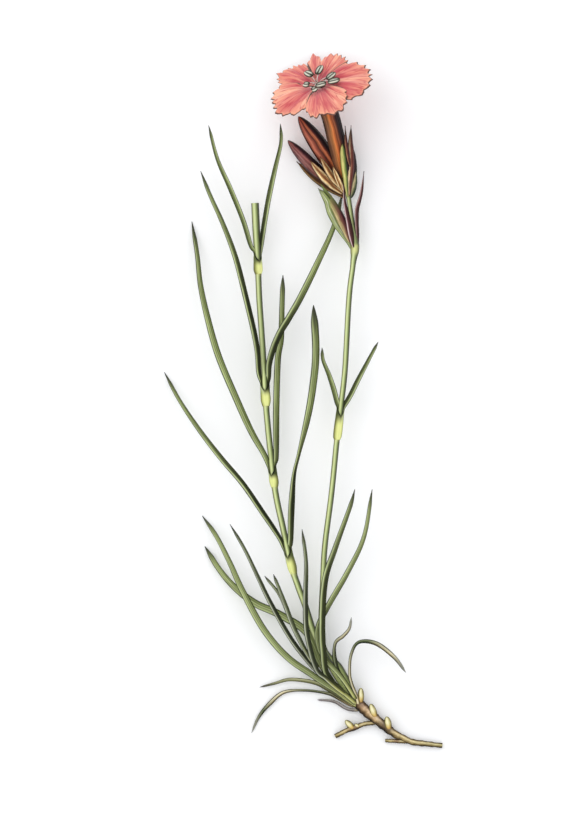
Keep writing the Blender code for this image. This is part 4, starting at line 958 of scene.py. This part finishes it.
stemLeaves = [
    # node, stem, sheath number, side, route, width, gloom of painted shade at even steps, half that
    # takes the painted shade or None
    ("stem_leaf_1_left", leafyStem, 0, -1, [
        (-19.5, 41.5, 7.4), (-23.5, 47.5, 8.4), (-28.5, 54.75, 8.6), (-34.0, 61.25, 7.4),
        (-39.25, 68.0, 5.4), (-44.25, 75.4, 2.8), (-48.25, 82.75, 0.25)],
        1.45, (0.7, 1.0, 1.0, 0.9, 0.5, 0.3, 0.4), None),
    ("stem_leaf_1_right", leafyStem, 0, 1, [
        (-16.6, 41.5, 7.6), (-16.4, 48.5, 8.6), (-15.8, 56.75, 9.6), (-14.5, 62.5, 10.2),
        (-12.4, 71.25, 10.6), (-11.0, 79.5, 10.6), (-10.3, 88.0, 10.0), (-10.9, 99.5, 9.0)],
        1.85, (0.3, 0.9, 1.0, 1.0, 0.6, 0.3, 0.3, 0.4, 0.7), None),
    ("stem_leaf_2_left", leafyStem, 1, -1, [
        (-23.25, 62.25, 7.6), (-26.5, 68.0, 8.6), (-30.25, 76.25, 9.0), (-34.5, 86.4, 8.2),
        (-37.1, 95.25, 6.8), (-39.1, 104.25, 4.8), (-40.0, 112.25, 2.6), (-41.35, 120.5, 0.25)],
        1.75, (0.4, 0.3, 0.2, 0.2, 0.3, 0.4, 0.8), None),
    ("stem_leaf_2_right", leafyStem, 1, 1, [
        (-20.2, 62.0, 6.2), (-20.2, 73.25, 5.6), (-19.8, 85.75, 5.2), (-19.0, 91.0, 5.0),
        (-18.75, 99.0, 5.2), (-18.5, 107.0, 6.0)], 1.65, (0.9, 0.6, 0.3, 0.3, 0.3, 0.5), None),
    ("stem_leaf_3_left", leafyStem, 2, -1, [
        (-24.6, 83.0, 7.2), (-25.2, 90.0, 8.4), (-28.25, 103.25, 9.6), (-30.5, 111.75, 9.4),
        (-33.5, 119.75, 8.4), (-36.75, 127.0, 6.8), (-39.1, 133.0, 5.2)],
        1.5, (0.6, 1.0, 1.0, 1.0, 0.9, 0.6, 0.3, 0.3), None),
    ("stem_leaf_3_right", leafyStem, 2, 1, [
        (-22.0, 84.6, 7.4), (-20.9, 88.7, 8.0), (-19.2, 92.7, 8.3), (-17.2, 96.0, 8.4),
        (-14.0, 101.6, 7.8), (-9.6, 110.6, 5.4), (-5.85, 119.0, 3.0), (-3.6, 127.4, 1.3)],
        1.75, (0.9, 0.9, 1.0, 0.8, 0.4, 0.1, 0.1, 0.1), None),
    ("stem_leaf_4_left", leafyStem, 3, -1, [
        (-26.6, 114.5, 6.4), (-28.5, 120.75, 7.6), (-31.75, 128.75, 8.2), (-34.9, 136.0, 7.6),
        (-37.1, 144.4, 6.2)], 1.25, (0.4, 0.5, 0.5, 0.4), -1.0),
    ("stem_leaf_4_right", leafyStem, 3, 1, [
        (-23.3, 119.0, 7.2), (-22.0, 126.5, 9.0), (-20.4, 133.75, 10.6), (-19.0, 140.0, 11.8),
        (-19.15, 144.6, 12.6)], 1.35, (1.0, 1.0, 0.7, 0.5, 0.5), -1.0),
    ("scape_leaf_left", scape, 0, -1, [
        (-5.7, 78.0, 7.4), (-7.0, 82.0, 8.4), (-8.5, 85.75, 9.2), (-8.75, 88.8, 9.6)],
        1.35, (0.6, 0.5, 0.4), -1.0),
    ("scape_leaf_right", scape, 0, 1, [
        (-1.6, 77.0, 7.4), (0.25, 80.75, 8.2), (3.0, 86.0, 9.4), (5.25, 90.25, 10.6)],
        1.3, (1.0, 0.8, 0.5), -1.0),
]
waists = {"stem_leaf_1_right": (0.42, 0.12, 0.5)}      # where it is seen nearly edge-on
narrowings = {"stem_leaf_1_right": -0.08, "stem_leaf_2_right": 0.22}
stemLeaf = {
    "base": 0.68, "curl": 2.0, "sheathRings": 14, "bladeRings": 110, "crowding": 1.5,
    "lead": 2.4, "leadOut": 0.1,        # how far the blade follows the stem above its sheath
    # millimetres above the sheath between which the blade opens, flattens and turns face up
    "opens": (-0.6, 1.6), "flattens": (0, 5), "turns": (-0.5, 5),
    "paleBetween": (0.6, 1.1),          # shares of the sheath, over which its yellow ends
    "shape": {"Rings": 150, "Ruffle": 0.1}}


def makeStemLeaf(node, stem, number, side, route, width, gloom, dark):
    # the foot of the blade is half of the sheath that the pair makes round the stem
    foot, long, turn, inner = stem["sheaths"][number]
    low, along = atHeight(stem["path"], foot)
    high, onward = atHeight(stem["path"], foot + long)
    level = along.cross(up).normalized()
    turn = math.radians(turn)
    outward = side * (level * math.cos(turn) + level.cross(along) * math.sin(turn))
    atFoot, atBelly, atMouth = [stem["sheathScale"] * r for r in sheath["radii"]]
    start = [low + outward * atFoot, low.lerp(high, sheath["bellyAt"]) + outward * atBelly,
             high + outward * atMouth]
    lead = high + onward * stemLeaf["lead"] + outward * (atMouth + stemLeaf["leadOut"])
    rings = ((0, atFoot), (sheath["bellyAt"] * long, atBelly), (long, atMouth))
    path = curvePoints(start, stemLeaf["sheathRings"])[:-1] + curvePoints(
        [start[-1], lead] + route, stemLeaf["bladeRings"], stemLeaf["crowding"])
    gone = [0]
    for a, b in zip(path, path[1:]):
        gone.append(gone[-1] + (b - a).length)
    body = grassWidth(width, stemLeaf["base"], narrowings.get(node, grass["narrowing"]))
    middle, spread, depth = waists.get(node, (0.5, 1.0, 0.0))
    halfWidths, curls, facings, pale, glooms = [], [], [], [], []
    for way in gone:
        above, share = way - long, way / gone[-1]
        opened, flat, turned = [smooth(*stemLeaf[key], above) for key in ("opens", "flattens", "turns")]
        ring = byMarks(rings, way)
        waist = 1 - depth * math.exp(-((share - middle) / spread) ** 2)
        halfWidths.append(mix(ring * sheath["halfTurn"], body(share) * waist / 2, opened))
        curls.append(mix(ring, stemLeaf["curl"], flat))
        facings.append((-outward).lerp(up, turned))
        pale.append(1 - smooth(*stemLeaf["paleBetween"], way / long))
        glooms.append(alongList(gloom, share))
    blade = growBlade(node + "_fine", path, halfWidths, curls, facings, "leaf blade", glooms,
                      pale, dark, **stemLeaf["shape"])
    standFor(blade, node)


for node, stem in (("leafy_stem", leafyStem), ("flowering_stem", scape)):
    stem["path"] = makeStem(node, stem)
for row in stemLeaves:
    makeStemLeaf(*row)
print("stem leaves ready")


# Bracts and scales round the flower

bracts = {
    # route, width, where its inner face looks, place of its belly, finish, gloom of painted shade, slot
    "upper_bract_left": ([
        (-1.1, 113.0, 4.7), (-2.2, 115.4, 4.8), (-3.75, 117.8, 4.9), (-5.3, 120.2, 5.0),
        (-6.6, 122.8, 5.3), (-7.4, 125.3, 5.6), (-8.55, 127.3, 5.7), (-9.75, 128.7, 5.6)],
        2.6, (0.3, 0, 1), 0.62, "green bract", 0.15, "leaf_blade"),
    "upper_bract_inner": ([
        (-1.9, 115.2, 5.9), (-3.2, 118.8, 6.5), (-4.5, 121.6, 6.5), (-5.8, 124.2, 5.9),
        (-7.3, 126.9, 5.2), (-8.4, 128.7, 5.0), (-9.05, 129.7, 4.9)],
        2.7, (0.3, 0, -1), 0.4, "green-tipped scale", 0.0, "brown_scale"),
    "upper_bract_front": ([
        (-0.9, 113.9, 5.9), (-1.48, 117.2, 6.9), (-2.05, 120.2, 7.6), (-2.6, 122.8, 8.0),
        (-3.05, 125.1, 8.2), (-3.3, 127.9, 8.3), (-3.4, 129.8, 8.2)],
        1.5, (0, 0, -1), 0.25, "purple awn", 0.0, "purple_awn"),
    "upper_bract_right": ([
        (0.35, 113.6, 4.8), (0.25, 116.5, 4.8), (0.05, 120.0, 4.9), (0.1, 123.3, 5.0),
        (0.7, 125.7, 5.1), (1.25, 128.2, 5.3), (1.75, 133.0, 5.6)],
        1.4, (-0.6, 0, -0.8), 0.45, "purple awn", 0.9, "purple_awn"),
    "calyx_scale_front": ([
        (-2.35, 126.4, 5.2), (-2.7, 129.6, 7.2), (-3.1, 133.0, 8.6), (-3.5, 136.6, 9.4),
        (-3.7, 139.7, 10.0)], 1.65, (-0.3, 0, -1), 0.72, "yellow scale", 0.0,
        "leaf_blade"),
    "calyx_scale_right": ([
        (-1.9, 126.8, 4.6), (-1.6, 129.8, 5.6), (-1.25, 133.1, 6.4), (-1.17, 135.4, 6.7),
        (-1.27, 138.0, 6.9), (-1.5, 140.9, 7.0), (-1.5, 144.4, 7.0)],
        3.0, (-1, 0, -0.9), 0.42, "wine scale", 0.1, "brown_scale"),
    "calyx_scale_awned": ([
        (-1.7, 134.0, 7.6), (-2.3, 137.4, 8.6), (-2.75, 140.8, 9.3), (-3.0, 144.2, 9.8)],
        1.3, (-0.7, 0, -1), 0.35, "wine scale", 1.0, "leaf_blade"),
    "calyx_scale_left": ([
        (-3.4, 127.6, 5.4), (-4.8, 131.0, 7.3), (-6.1, 134.2, 8.3)],
        1.9, (0.5, 0, -1), 0.42, "straw scale", 0.05, "straw_scale"),
    "bud_scale_lower": ([
        (-3.0, 126.4, 1.9), (-5.9, 128.5, 0.8), (-9.1, 130.5, 0.6), (-12.2, 132.9, 0.6),
        (-15.1, 135.5, 0.9)], 2.9, (0.3, 0, 1), 0.4, "brown scale", 0.9,
        "brown_scale"),
    "bud_scale_upper": ([
        (-3.7, 127.4, 3.5), (-6.8, 130.2, 4.3), (-9.3, 132.7, 4.7), (-11.7, 135.6, 4.9)],
        2.8, (0, 0, -1), 0.45, "straw scale", 0.1, "straw_scale"),
    "bud_scale_inner": ([
        (-4.1, 128.6, 5.0), (-6.1, 131.6, 5.6), (-7.8, 134.2, 5.9), (-9.2, 136.6, 6.2)],
        2.2, (-0.4, 0, -1), 0.45, "straw scale", 0.4, "brown_scale"),
    "right_scale": ([
        (-1.95, 126.0, 3.6), (-1.25, 127.5, 3.2), (-0.7, 129.2, 2.8), (-0.4, 131.1, 2.6),
        (-0.15, 133.3, 2.7)], 2.0, (-0.5, 0, -1), 0.34, "green bract", 1.0,
        "leaf_blade"),
}
bract = {"points": 60, "curl": 1.6, "foot": 0.07, "tipAt": 0.98, "least": 0.12,
         "bluntness": 1.25, "sharpening": 1.1,      # the further out the belly, the blunter
         "shape": {"Thickness": 0.35, "Rings": 80, "Ruffle": 0.15}}


def makeBracts():
    for name, (route, width, faces, belly, finish, gloom, slot) in bracts.items():
        path = curvePoints(route, bract["points"])
        count = len(path)
        halfWidths = []
        for t in evenShares(count):
            # half a wave up to the belly, and another from there to the tip
            way, blunt = 0.5 * t / belly, 1
            if t >= belly:
                way = 0.5 + 0.5 * (t - belly) / (bract["tipAt"] - belly)
                blunt = bract["bluntness"] - bract["sharpening"] * belly
            wave = math.sin(math.pi * min(1, mix(bract["foot"], 1, way))) ** blunt
            halfWidths.append(max(bract["least"], width / 2 * wave))
        dark = paintedShadeHalf(path) * (1 if faces[2] > 0 else -1)
        blade = growBlade(name + "_fine", path, halfWidths, [bract["curl"]] * count,
                          [Vector(faces)] * count, finish, [gloom] * count, dark=dark,
                          **bract["shape"])
        standFor(blade, name)
    print("bracts ready")


makeBracts()


# Closed buds, and the calyx that carries the open flower

closedBuds = {
    # route, radius, finish, slot
    "tall_bud": ([(-3.4, 129.0, 2.4), (-5.7, 133.6, 2.3), (-9.9, 140.0, 4.2),
                  (-14.65, 146.6, 7.2)], 2.2, "bud skin", "calyx_skin"),
    "low_bud": ([(-4.6, 128.6, 1.9), (-8.0, 131.4, 2.2), (-11.9, 135.0, 2.5),
                 (-17.3, 140.75, 3.2)], 1.6, "purple bud skin", "purple_bud_skin"),
    "right_bud": ([(-1.5, 128.0, 2.3), (-1.3, 130.4, 1.7), (-1.25, 134.0, 1.05),
                   (-1.5, 139.7, 1.2)], 1.25, "right bud skin", "calyx_skin"),
}
budShape = {"Rings": 110, "Sides": 60, "Ribs": 10.0, "Rib depth": 0.035, "Bump": 0.05,
            "Bump scale": 700.0}
budForm = {"points": 90, "foot": 0.3, "bellyAt": 0.45, "taper": 2.4, "bluntness": 0.65, "least": 0.04}


def makeClosedBuds():
    belly = budForm["bellyAt"]
    for name, (route, radius, finish, slot) in closedBuds.items():
        path = curvePoints(route, budForm["points"])
        girths = []
        for t in evenShares(len(path)):
            tip = max(0, 1 - max(0, (t - belly) / (1 - belly)) ** budForm["taper"])
            full = mix(budForm["foot"], 1, smooth(0, belly, t)) * tip ** budForm["bluntness"]
            girths.append(radius * max(budForm["least"], full))
        bud = growAlong(name + "_fine", path, stalkTree,
                        {**budShape, "Material": roundFinishes[finish]}, {"girth": girths})
        keepAboveFloor(bud)
        standFor(bud, name)
    print("closed buds ready")


makeClosedBuds()

throat = Vector((-9.85, 154.25, 12.9))      # centre of the open flower
flowerAxis = Vector((-0.30, 0.74, 0.60)).normalized()
flowerRight = (Vector((1, 0, 0)) - flowerAxis * flowerAxis.x).normalized()
flowerBack = flowerAxis.cross(flowerRight)
calyx = {
    "route": [(-2.35, 127.6, 4.2), (-3.7, 134.5, 6.3), (-5.3, 141.25, 7.8), (-6.8, 147.0, 9.3)],
    "points": 60, "neck": 1.2, "radius": 2.2, "foot": 0.3, "fullBy": 0.35, "wall": 0.35,
    "mouth": 3.2, "floor": 5.3,              # how far each lies below the throat
    "teeth": 5, "tooth": 1.5, "toothFoot": 0.1, "toothTurn": 0.25,
    "ribs": 20, "ribDepth": 0.03, "sides": 80,
    "outerSteps": (0.35, 0.7, 1.0), "innerSteps": (0.95, 0.5, 0.0),     # up and down the teeth
    "toothStart": 0.9,                       # share of the colour along it that the tube takes
}


def inFlower(x, y, h):
    # x to the right, y to the back, h out of the throat
    return throat + flowerRight * x + flowerBack * y + flowerAxis * h


def makeCalyx():
    mouth = throat - flowerAxis * calyx["mouth"]
    path = curvePoints(calyx["route"] + [mouth - flowerAxis * calyx["neck"], mouth],
                       calyx["points"])
    sides, rings, ringValues, alongs = calyx["sides"], [], [], []

    def addRing(centre, way, radius, along, teeth=0.0):
        side = way.cross(up).normalized()
        top = side.cross(way)
        ring = []
        for j in range(sides):
            turn = 2 * math.pi * j / sides
            place = j * calyx["teeth"] / sides - calyx["toothTurn"]
            tooth = abs(place % 1 - 0.5) * 2     # 1 at a tooth's tip
            rib = 1 + calyx["ribDepth"] * math.cos(calyx["ribs"] * turn)
            ring.append(centre + way * teeth * (calyx["toothFoot"] + calyx["tooth"] * tooth)
                        + (side * math.cos(turn) + top * math.sin(turn)) * radius * rib)
            ringValues.append(Vector((math.cos(turn), math.sin(turn), 0)))
            alongs.append(along)
        rings.append(ring)

    last, start = len(path) - 1, calyx["toothStart"]
    for i, p in enumerate(path):
        full = mix(calyx["foot"], 1, smooth(0, calyx["fullBy"], i / last))
        addRing(p, tangentAt(path, i), calyx["radius"] * full, start * i / last)
    inner = calyx["radius"] - calyx["wall"]
    for radius, steps in ((calyx["radius"], calyx["outerSteps"]), (inner, calyx["innerSteps"])):
        for share in steps:
            addRing(mouth, flowerAxis, radius, mix(start, 1, share), share)
    addRing(throat - flowerAxis * calyx["floor"], flowerAxis, inner, 0.8)

    verts = [v * mm for ring in rings for v in ring]
    faces = [tuple(reversed(range(sides)))]
    for i in range(len(rings) - 1):
        for j in range(sides):
            k = (j + 1) % sides
            faces.append((i * sides + j, i * sides + k, (i + 1) * sides + k, (i + 1) * sides + j))
    faces.append(tuple(range((len(rings) - 1) * sides, len(rings) * sides)))
    mesh = bpy.data.meshes.new("open_calyx_fine")
    mesh.from_pydata(verts, [], faces)
    storeValues(mesh, "ring", ringValues)
    storeValues(mesh, "along", alongs)
    mesh.shade_smooth()
    mesh.materials.append(roundFinishes["calyx skin"])
    standFor(addObject("open_calyx_fine", mesh), "open_calyx")
    print("calyx ready")


makeCalyx()


# Petals

petals = {
    # middle and half of the angle it spans, lift over its neighbours, reach from flank to flank
    "petal_top": (74, 32, -0.5, (0.86, 0.92, 0.96, 0.98, 1.05, 1.08, 1.04, 0.97, 0.82, 1.08, 1.18,
                                  1.03, 0.88)),
    "petal_upper_left": (134, 28, -0.1, (0.8, 0.93, 1.0, 1.05, 1.05, 1.12, 1.04, 0.92, 0.78)),
    "petal_lower_left": (206, 48, 0.2, (0.78, 0.92, 0.98, 0.97, 1.03, 1.1, 1.02, 0.94, 0.68)),
    "petal_front": (287, 38, 0.5, (0.68, 1.0, 1.18, 1.16, 1.27, 1.2, 1.06, 0.88, 0.74)),
    "petal_right": (356, 47, -0.1, (1.0, 1.17, 1.24, 1.2, 1.14, 1.09, 1.0, 0.86, 0.72))}
petalShape = {
    "rows": [       # way out from the axis, height, half width while it is still a claw
        (1, -5, 0.42), (1, -1.9, 0.42), (1.35, -0.75, 0.6), (2.2, -0.1, 1.6), (4.0, 0.35, 3.3),
        (6.4, 0.55, 4.9), (8.8, 0.5, 6.0), (10.9, 0.25, 6.4), (12.0, 0.0, 7.0)],
    "columns": 144, "lines": 80,
    "widens": (1.5, 7),                # way out over which the claw turns into the blade
    "teeth": 9, "toothDepth": 0.5, "toothChange": 0.4, "toothFrom": 1.6,
    # height, and how often across
    "toothDrift": (0.3, 5), "nibbles": (0.08, 61), "wave": (0.35, 5), "folds": (0.13, 17),
    "ridges": (0.03, 67), "foldTwist": 0.12,
    "thickness": 0.3, "taper": 0.5, "leastShare": 0.25, "thinRows": 4, "rimWidth": 0.02,
}
petalLook = {
    "roughness": 0.7, "specular": 0.2, "sheen": 0.25, "detail": 2.0, "relief": (0.35, 0.12),
    # lanes that run out of the throat: how many across, how often they change on their way
    "streaks": {"broad": (3.4, 1.6), "fine": (10.0, 2.0)},
    "outwards": [(0, "#ECBAA0"), (0.3, "#DE828A"), (0.42, "#D66C74"), (0.6, "#E17E74"),
                 (0.8, "#E68878"), (0.93, "#EC9A80"), (1, "#F0AA8A")],
    "veins": [(0, 0.0), (0.45, 0.0), (0.5, 0.75), (0.55, 0.0), (1, 0.0)],
    # what a tint's share goes by, two values of that, and the shares at them
    "shares": {"rose": ("broad", 0.5, 0.6, 0.0, 0.85), "fade": ("out", 0.7, 0.97, 1.0, 0.35),
               # the peach share is painted highlight, laid where the broad streaks are low
               "peach": ("broad", 0.46, 0.34, 0.0, 0.85), "flank": ("rim", 0.8, 0.2, 0.0, 0.45),
               "outline": ("rim", 0.42, 0.24, 0.0, 1.0)},
    "tints": {"rose": "#C84A56", "peach": "#FAB898", "veins": "#C0444E", "flank": "#FAB48C",
              "outline": "#5E3E36"},
}


def makePetalFinish():
    # petal: velvety and thin, coral with rose streaks out of the throat, broad peach streaks that are
    # painted highlights, and a peach rim
    material, tree, known = startFinish("petal tissue", petalLook["roughness"],
                                        petalLook["specular"], "across", "out", "rim", "seed")
    shader = tree.nodes["Principled BSDF"]
    shader.inputs["Sheen Weight"].default_value = petalLook["sheen"]
    for name, (count, stretch) in petalLook["streaks"].items():
        addSteps(tree, "ShaderNodeMath", known,
                 ("lane", "MULTIPLY", "across", count), ("far", "MULTIPLY", "out", stretch))
        lane = addNode(tree, "ShaderNodeCombineXYZ", {
            0: known["lane"], 1: known["far"], 2: known["seed"]}).outputs[0]
        known[name] = addNode(tree, "ShaderNodeTexNoise", {
            "Vector": lane, "Scale": 1.0, "Detail": petalLook["detail"]}).outputs["Fac"]
    base, known["veins"] = [
        addNode(tree, "ShaderNodeValToRGB", {0: known[value]}, stops=petalLook[key]).outputs[0]
        for key, value in (("outwards", "out"), ("veins", "fine"))]
    for name, (value, *limits) in petalLook["shares"].items():
        known[name] = addNode(tree, "ShaderNodeMapRange", {
            0: known[value], **dict(enumerate(limits, 1))}).outputs[0]
    addSteps(tree, "ShaderNodeMath", known, ("rose", "MULTIPLY", "rose", "fade"))
    layers = [(known[name], tint, "MIX") for name, tint in petalLook["tints"].items()]
    return endFinish(material, base, layers, known["fine"], *petalLook["relief"])


def skinOver(name, rows, thickness, values, material):
    # a thin closed skin either side of a grid of points, where its thickness is above nothing
    wide, count = len(rows[0]), len(rows) * len(rows[0])
    points = [p * mm for row in rows for p in row]
    quads = [(i * wide + k, i * wide + k + 1, (i + 1) * wide + k + 1, (i + 1) * wide + k)
             for i in range(len(rows) - 1) for k in range(wide - 1)]
    middle = bpy.data.meshes.new("middle")
    middle.from_pydata(points, [], quads)
    normals = [v.normal.copy() for v in middle.vertices]
    bpy.data.meshes.remove(middle)
    halves = [n * t * mm / 2 for n, t in zip(normals, thickness)]
    verts = [p + h for p, h in zip(points, halves)] + [p - h for p, h in zip(points, halves)]
    faces = quads + [tuple(count + n for n in reversed(quad)) for quad in quads]
    mesh = bpy.data.meshes.new(name)
    mesh.from_pydata(verts, [], faces)
    for key, numbers in values.items():
        storeValues(mesh, key, numbers * 2)
    form = bmesh.new()
    form.from_mesh(mesh)
    bmesh.ops.remove_doubles(form, verts=form.verts, dist=1e-7)
    form.to_mesh(mesh)
    form.free()
    mesh.shade_smooth()
    mesh.materials.append(material)
    return addObject(name, mesh)


def makePetal(name, turn, halfAngle, lift, reaches, order, material):
    shape = petalShape
    columns, depth = shape["columns"], shape["toothDepth"]
    angle, spread = math.radians(turn), math.radians(halfAngle)
    outward = Vector((math.cos(angle), math.sin(angle), 0))
    sideways = Vector((-math.sin(angle), math.cos(angle), 0))
    lines = curvePoints(shape["rows"], shape["lines"])
    outer = shape["rows"][-1][0]
    rows, thickness, rims, outs, acrosses = [], [], [], [], []
    for i, (far, height, half) in enumerate(lines):
        grown = smooth(*shape["widens"], far)
        toothed = smooth(outer - shape["toothFrom"], outer, far)
        row = []
        for k in range(columns + 1):
            u = 2 * k / columns - 1
            place = (u + 1) * shape["teeth"] + ripple(shape["toothDrift"], u, 3 * order)
            cut, part = math.floor(place), place % 1
            ends = [(depth if n % 2 else -depth) * (1 - shape["toothChange"] * math.sin(3 * n + order))
                    for n in (cut, cut + 1)]
            tooth = mix(*ends, part) + ripple(shape["nibbles"], u, 5 * order)
            reach = far * alongList(reaches, k / columns) + tooth * toothed
            out = mix(far, reach * math.cos(spread * u), grown)
            wide = mix(u * half, reach * math.sin(spread * u), grown)
            wave = ripple(shape["wave"], u, order) * (1 - u * u)
            fold = ripple(shape["folds"], u, 2 * order + shape["foldTwist"] * far)
            ridge = ripple(shape["ridges"], u, order)
            spot = outward * out + sideways * wide
            spot.z = height + grown * (lift + (wave + fold) * (1 - u ** 4) + ridge)
            row.append(inFlower(*spot))
            toEnd = outer - far + shape["rimWidth"]
            toSide = (1 - abs(u)) * mix(half, reach * spread, grown)
            rim = max(0, min(toEnd, toSide))
            rims.append(rim)
            foot = min(1, i / shape["thinRows"])
            edged = 0 if i in (0, len(lines) - 1) or k in (0, columns) else 1
            thickness.append(shape["thickness"] * edged * foot
                             * min(1, shape["leastShare"] + rim / shape["taper"]))
            outs.append(i / (len(lines) - 1))
            acrosses.append(u)
        rows.append(row)
    petal = skinOver(name + "_fine", rows, thickness, {
        "rim": rims, "out": outs, "across": acrosses, "seed": [3.7 * order] * len(outs)}, material)
    standFor(petal, name)


petalFinish = makePetalFinish()
for order, (name, row) in enumerate(petals.items()):
    makePetal(name, *row, order, petalFinish)
print("petals ready")


# Stamens and styles in the throat

anthers = [          # place to the right and to the back of the throat, turn, half length
    (-1.7, 2.8, -50, 1.6), (1.1, 3.1, 68, 1.75), (4.0, -0.1, 40, 1.5), (4.8, -2.7, 0, 1.6),
    (-2.3, -1.6, -20, 0.8), (1.4, -2.6, 0, 1.4), (-0.3, -4.2, 20, 0.6)]
styles = [           # routes, to the right, to the back and out of the throat
    [(0, 0, 0.3), (-0.42, -0.54, 1.2), (-1.12, -1.26, 1.5)],
    [(0, 0, 0.3), (0.36, 0.84, 1.52), (0.96, 1.96, 1.9)]]
stamen = {
    "column": [(0, 0, -5), (0, 0, -2), (0, 0, 0.6)],
    "foot": -0.6, "lift": 2.0, "liftChange": (0.2, 2.1),     # heights at the throat and the anther
    "bendAt": 0.35, "bendLift": 0.7, "lobeGap": 0.37,
    "lobeBow": ((-1, 0.4), (-0.4, 1.1), (0.4, 1.1), (1, 0.4))}     # place along it, share of the gap
threads = {          # points, sides, radius at a share of its length, finish
    "stamens_fine": (20, 24, lambda t: 0.5, "filament"),
    "filament": (24, 12, lambda t: 0.13, "filament"),
    "sac": (30, 20, lambda t: 0.5 * max(0.02, 1 - abs(2 * t - 1) ** 2.1) ** 0.5, "anther"),
    "style": (24, 12, lambda t: 0.2 - 0.12 * t, "filament")}


def growThread(kind, route):
    # the route is given in the flower
    points, sides, radiusAt, finish = threads[kind]
    path = curvePoints([inFlower(*spot) for spot in route], points)
    return growAlong(kind, path, stalkTree, {
        "Rings": points, "Sides": sides, "Material": roundFinishes[finish]},
        {"girth": [radiusAt(t) for t in evenShares(points)]})


def makeStamens():
    parts = [growThread("stamens_fine", stamen["column"])]
    for k, (x, y, turn, half) in enumerate(anthers):
        lift = stamen["lift"] + ripple(stamen["liftChange"], k)
        bend = (x * stamen["bendAt"], y * stamen["bendAt"], lift * stamen["bendLift"])
        parts.append(growThread("filament", [(0, 0, stamen["foot"]), bend, (x, y, lift)]))
        way = Vector((math.cos(math.radians(turn)), math.sin(math.radians(turn)), 0))
        for lobe in (-1, 1):
            shift = Vector((-way.y, way.x, 0)) * lobe * stamen["lobeGap"]
            parts.append(growThread("sac", [
                (x + bow * shift.x + share * half * way.x,
                 y + bow * shift.y + share * half * way.y, lift)
                for share, bow in stamen["lobeBow"]]))
    parts += [growThread("style", route) for route in styles]
    standFor(joinAll(parts), "stamens")
    print("stamens ready")


makeStamens()


# Rootstock

crownRoute = [(21.4, -10.85, 0.55), (17.5, -10.4, 0.65), (13.75, -9.9, 0.8), (11.25, -8.75, 0.85),
              (9.25, -7.75, 0.95), (5.75, -5.0, 1.2), (3.0, -2.75, 1.25), (0.9, -0.8, 1.15),
              (-0.7, 0.9, 1.15), (-1.2, 1.6, 1.7)]
crownRadii = [0.6, 0.66, 0.75, 0.78, 0.92, 1.12, 1.2, 1.35, 1.4, 1.1]
rootBranches = {
    # route, radius at both ends, height and place of its knob
    "left": ([(5.2, -5.0, 1.3), (2.0, -5.4, 1.0), (0.0, -6.1, 0.85), (-2.25, -6.9, 0.8),
              (-5.4, -8.5, 0.62)], 0.58, 0.58, 0.22, 0.55),
    "low": ([(13.2, -9.75, 0.8), (10.75, -9.75, 0.7), (7.1, -9.6, 0.55)], 0.6, 0.42, 0.0, 0.5),
}
rootBuds = [        # foot, tip, radius
    ((1.0, 0.2, 2.2), (1.0, 3.7, 3.1), 0.82), ((4.6, -3.5, 1.9), (3.4, -0.3, 2.9), 0.86),
    ((8.1, -6.5, 1.6), (7.4, -3.5, 2.5), 0.9), ((-0.9, -6.5, 1.0), (-2.9, -4.5, 1.5), 0.8),
    ((0.6, -6.0, 1.0), (-0.6, -5.5, 1.4), 0.5)]


root = {
    "bark": {"Rings": 260, "Sides": 40, "Bump": 0.22, "Bump scale": 1500.0, "Seed": 1.0},
    "branch": {"Rings": 110, "Seed": 5.0},
    "bud": {"Rings": 44, "Sides": 28, "Bump": 0.05, "Bump scale": 1200.0},
    "points": 260, "branchPoints": 100, "budPoints": 40,
    # share of the radius, or millimetres on a branch, and how often
    "scars": (0.06, 75), "wrinkles": (0.02, 310), "bulges": (0.03, 137), "branchRings": (0.03, 69.3),
    "scarsEnd": (0.75, 0.85), "knobSpread": 0.1,
    "budFoot": -0.72, "leastBud": 0.004}       # where on the bud's round its foot is cut off


def makeRootstock():
    girths = []
    for t in evenShares(root["points"]):
        scar = ripple(root["scars"], t) * (1 - smooth(*root["scarsEnd"], t))
        wrinkle = ripple(root["wrinkles"], t) + ripple(root["bulges"], t, 1)
        girths.append(alongList(crownRadii, t) * (1 + scar + wrinkle))
    pieces = [("rootstock_fine", crownRoute, root["bark"], "root bark", girths)]
    for name, (route, start, end, knob, where) in rootBranches.items():
        girths = [mix(start, end, t) + knob * math.exp(-((t - where) / root["knobSpread"]) ** 2)
                  + ripple(root["branchRings"], t) for t in evenShares(root["branchPoints"])]
        pieces.append((name, route, {**root["bark"], **root["branch"]}, "root branch", girths))
    for foot, tip, radius in rootBuds:
        girths = [radius * max(root["leastBud"], 1 - mix(root["budFoot"], 1, t) ** 2) ** 0.5
                  for t in evenShares(root["budPoints"])]
        pieces.append(("bud", [foot, tip], root["bud"], "root bud", girths))
    body = joinAll([
        growAlong(name, curvePoints(route, len(girths)), stalkTree,
                  {**shape, "Material": roundFinishes[finish]}, {"girth": girths})
        for name, route, shape, finish, girths in pieces])
    keepAboveFloor(body)
    standFor(body, "rootstock")
    print("rootstock ready")


makeRootstock()
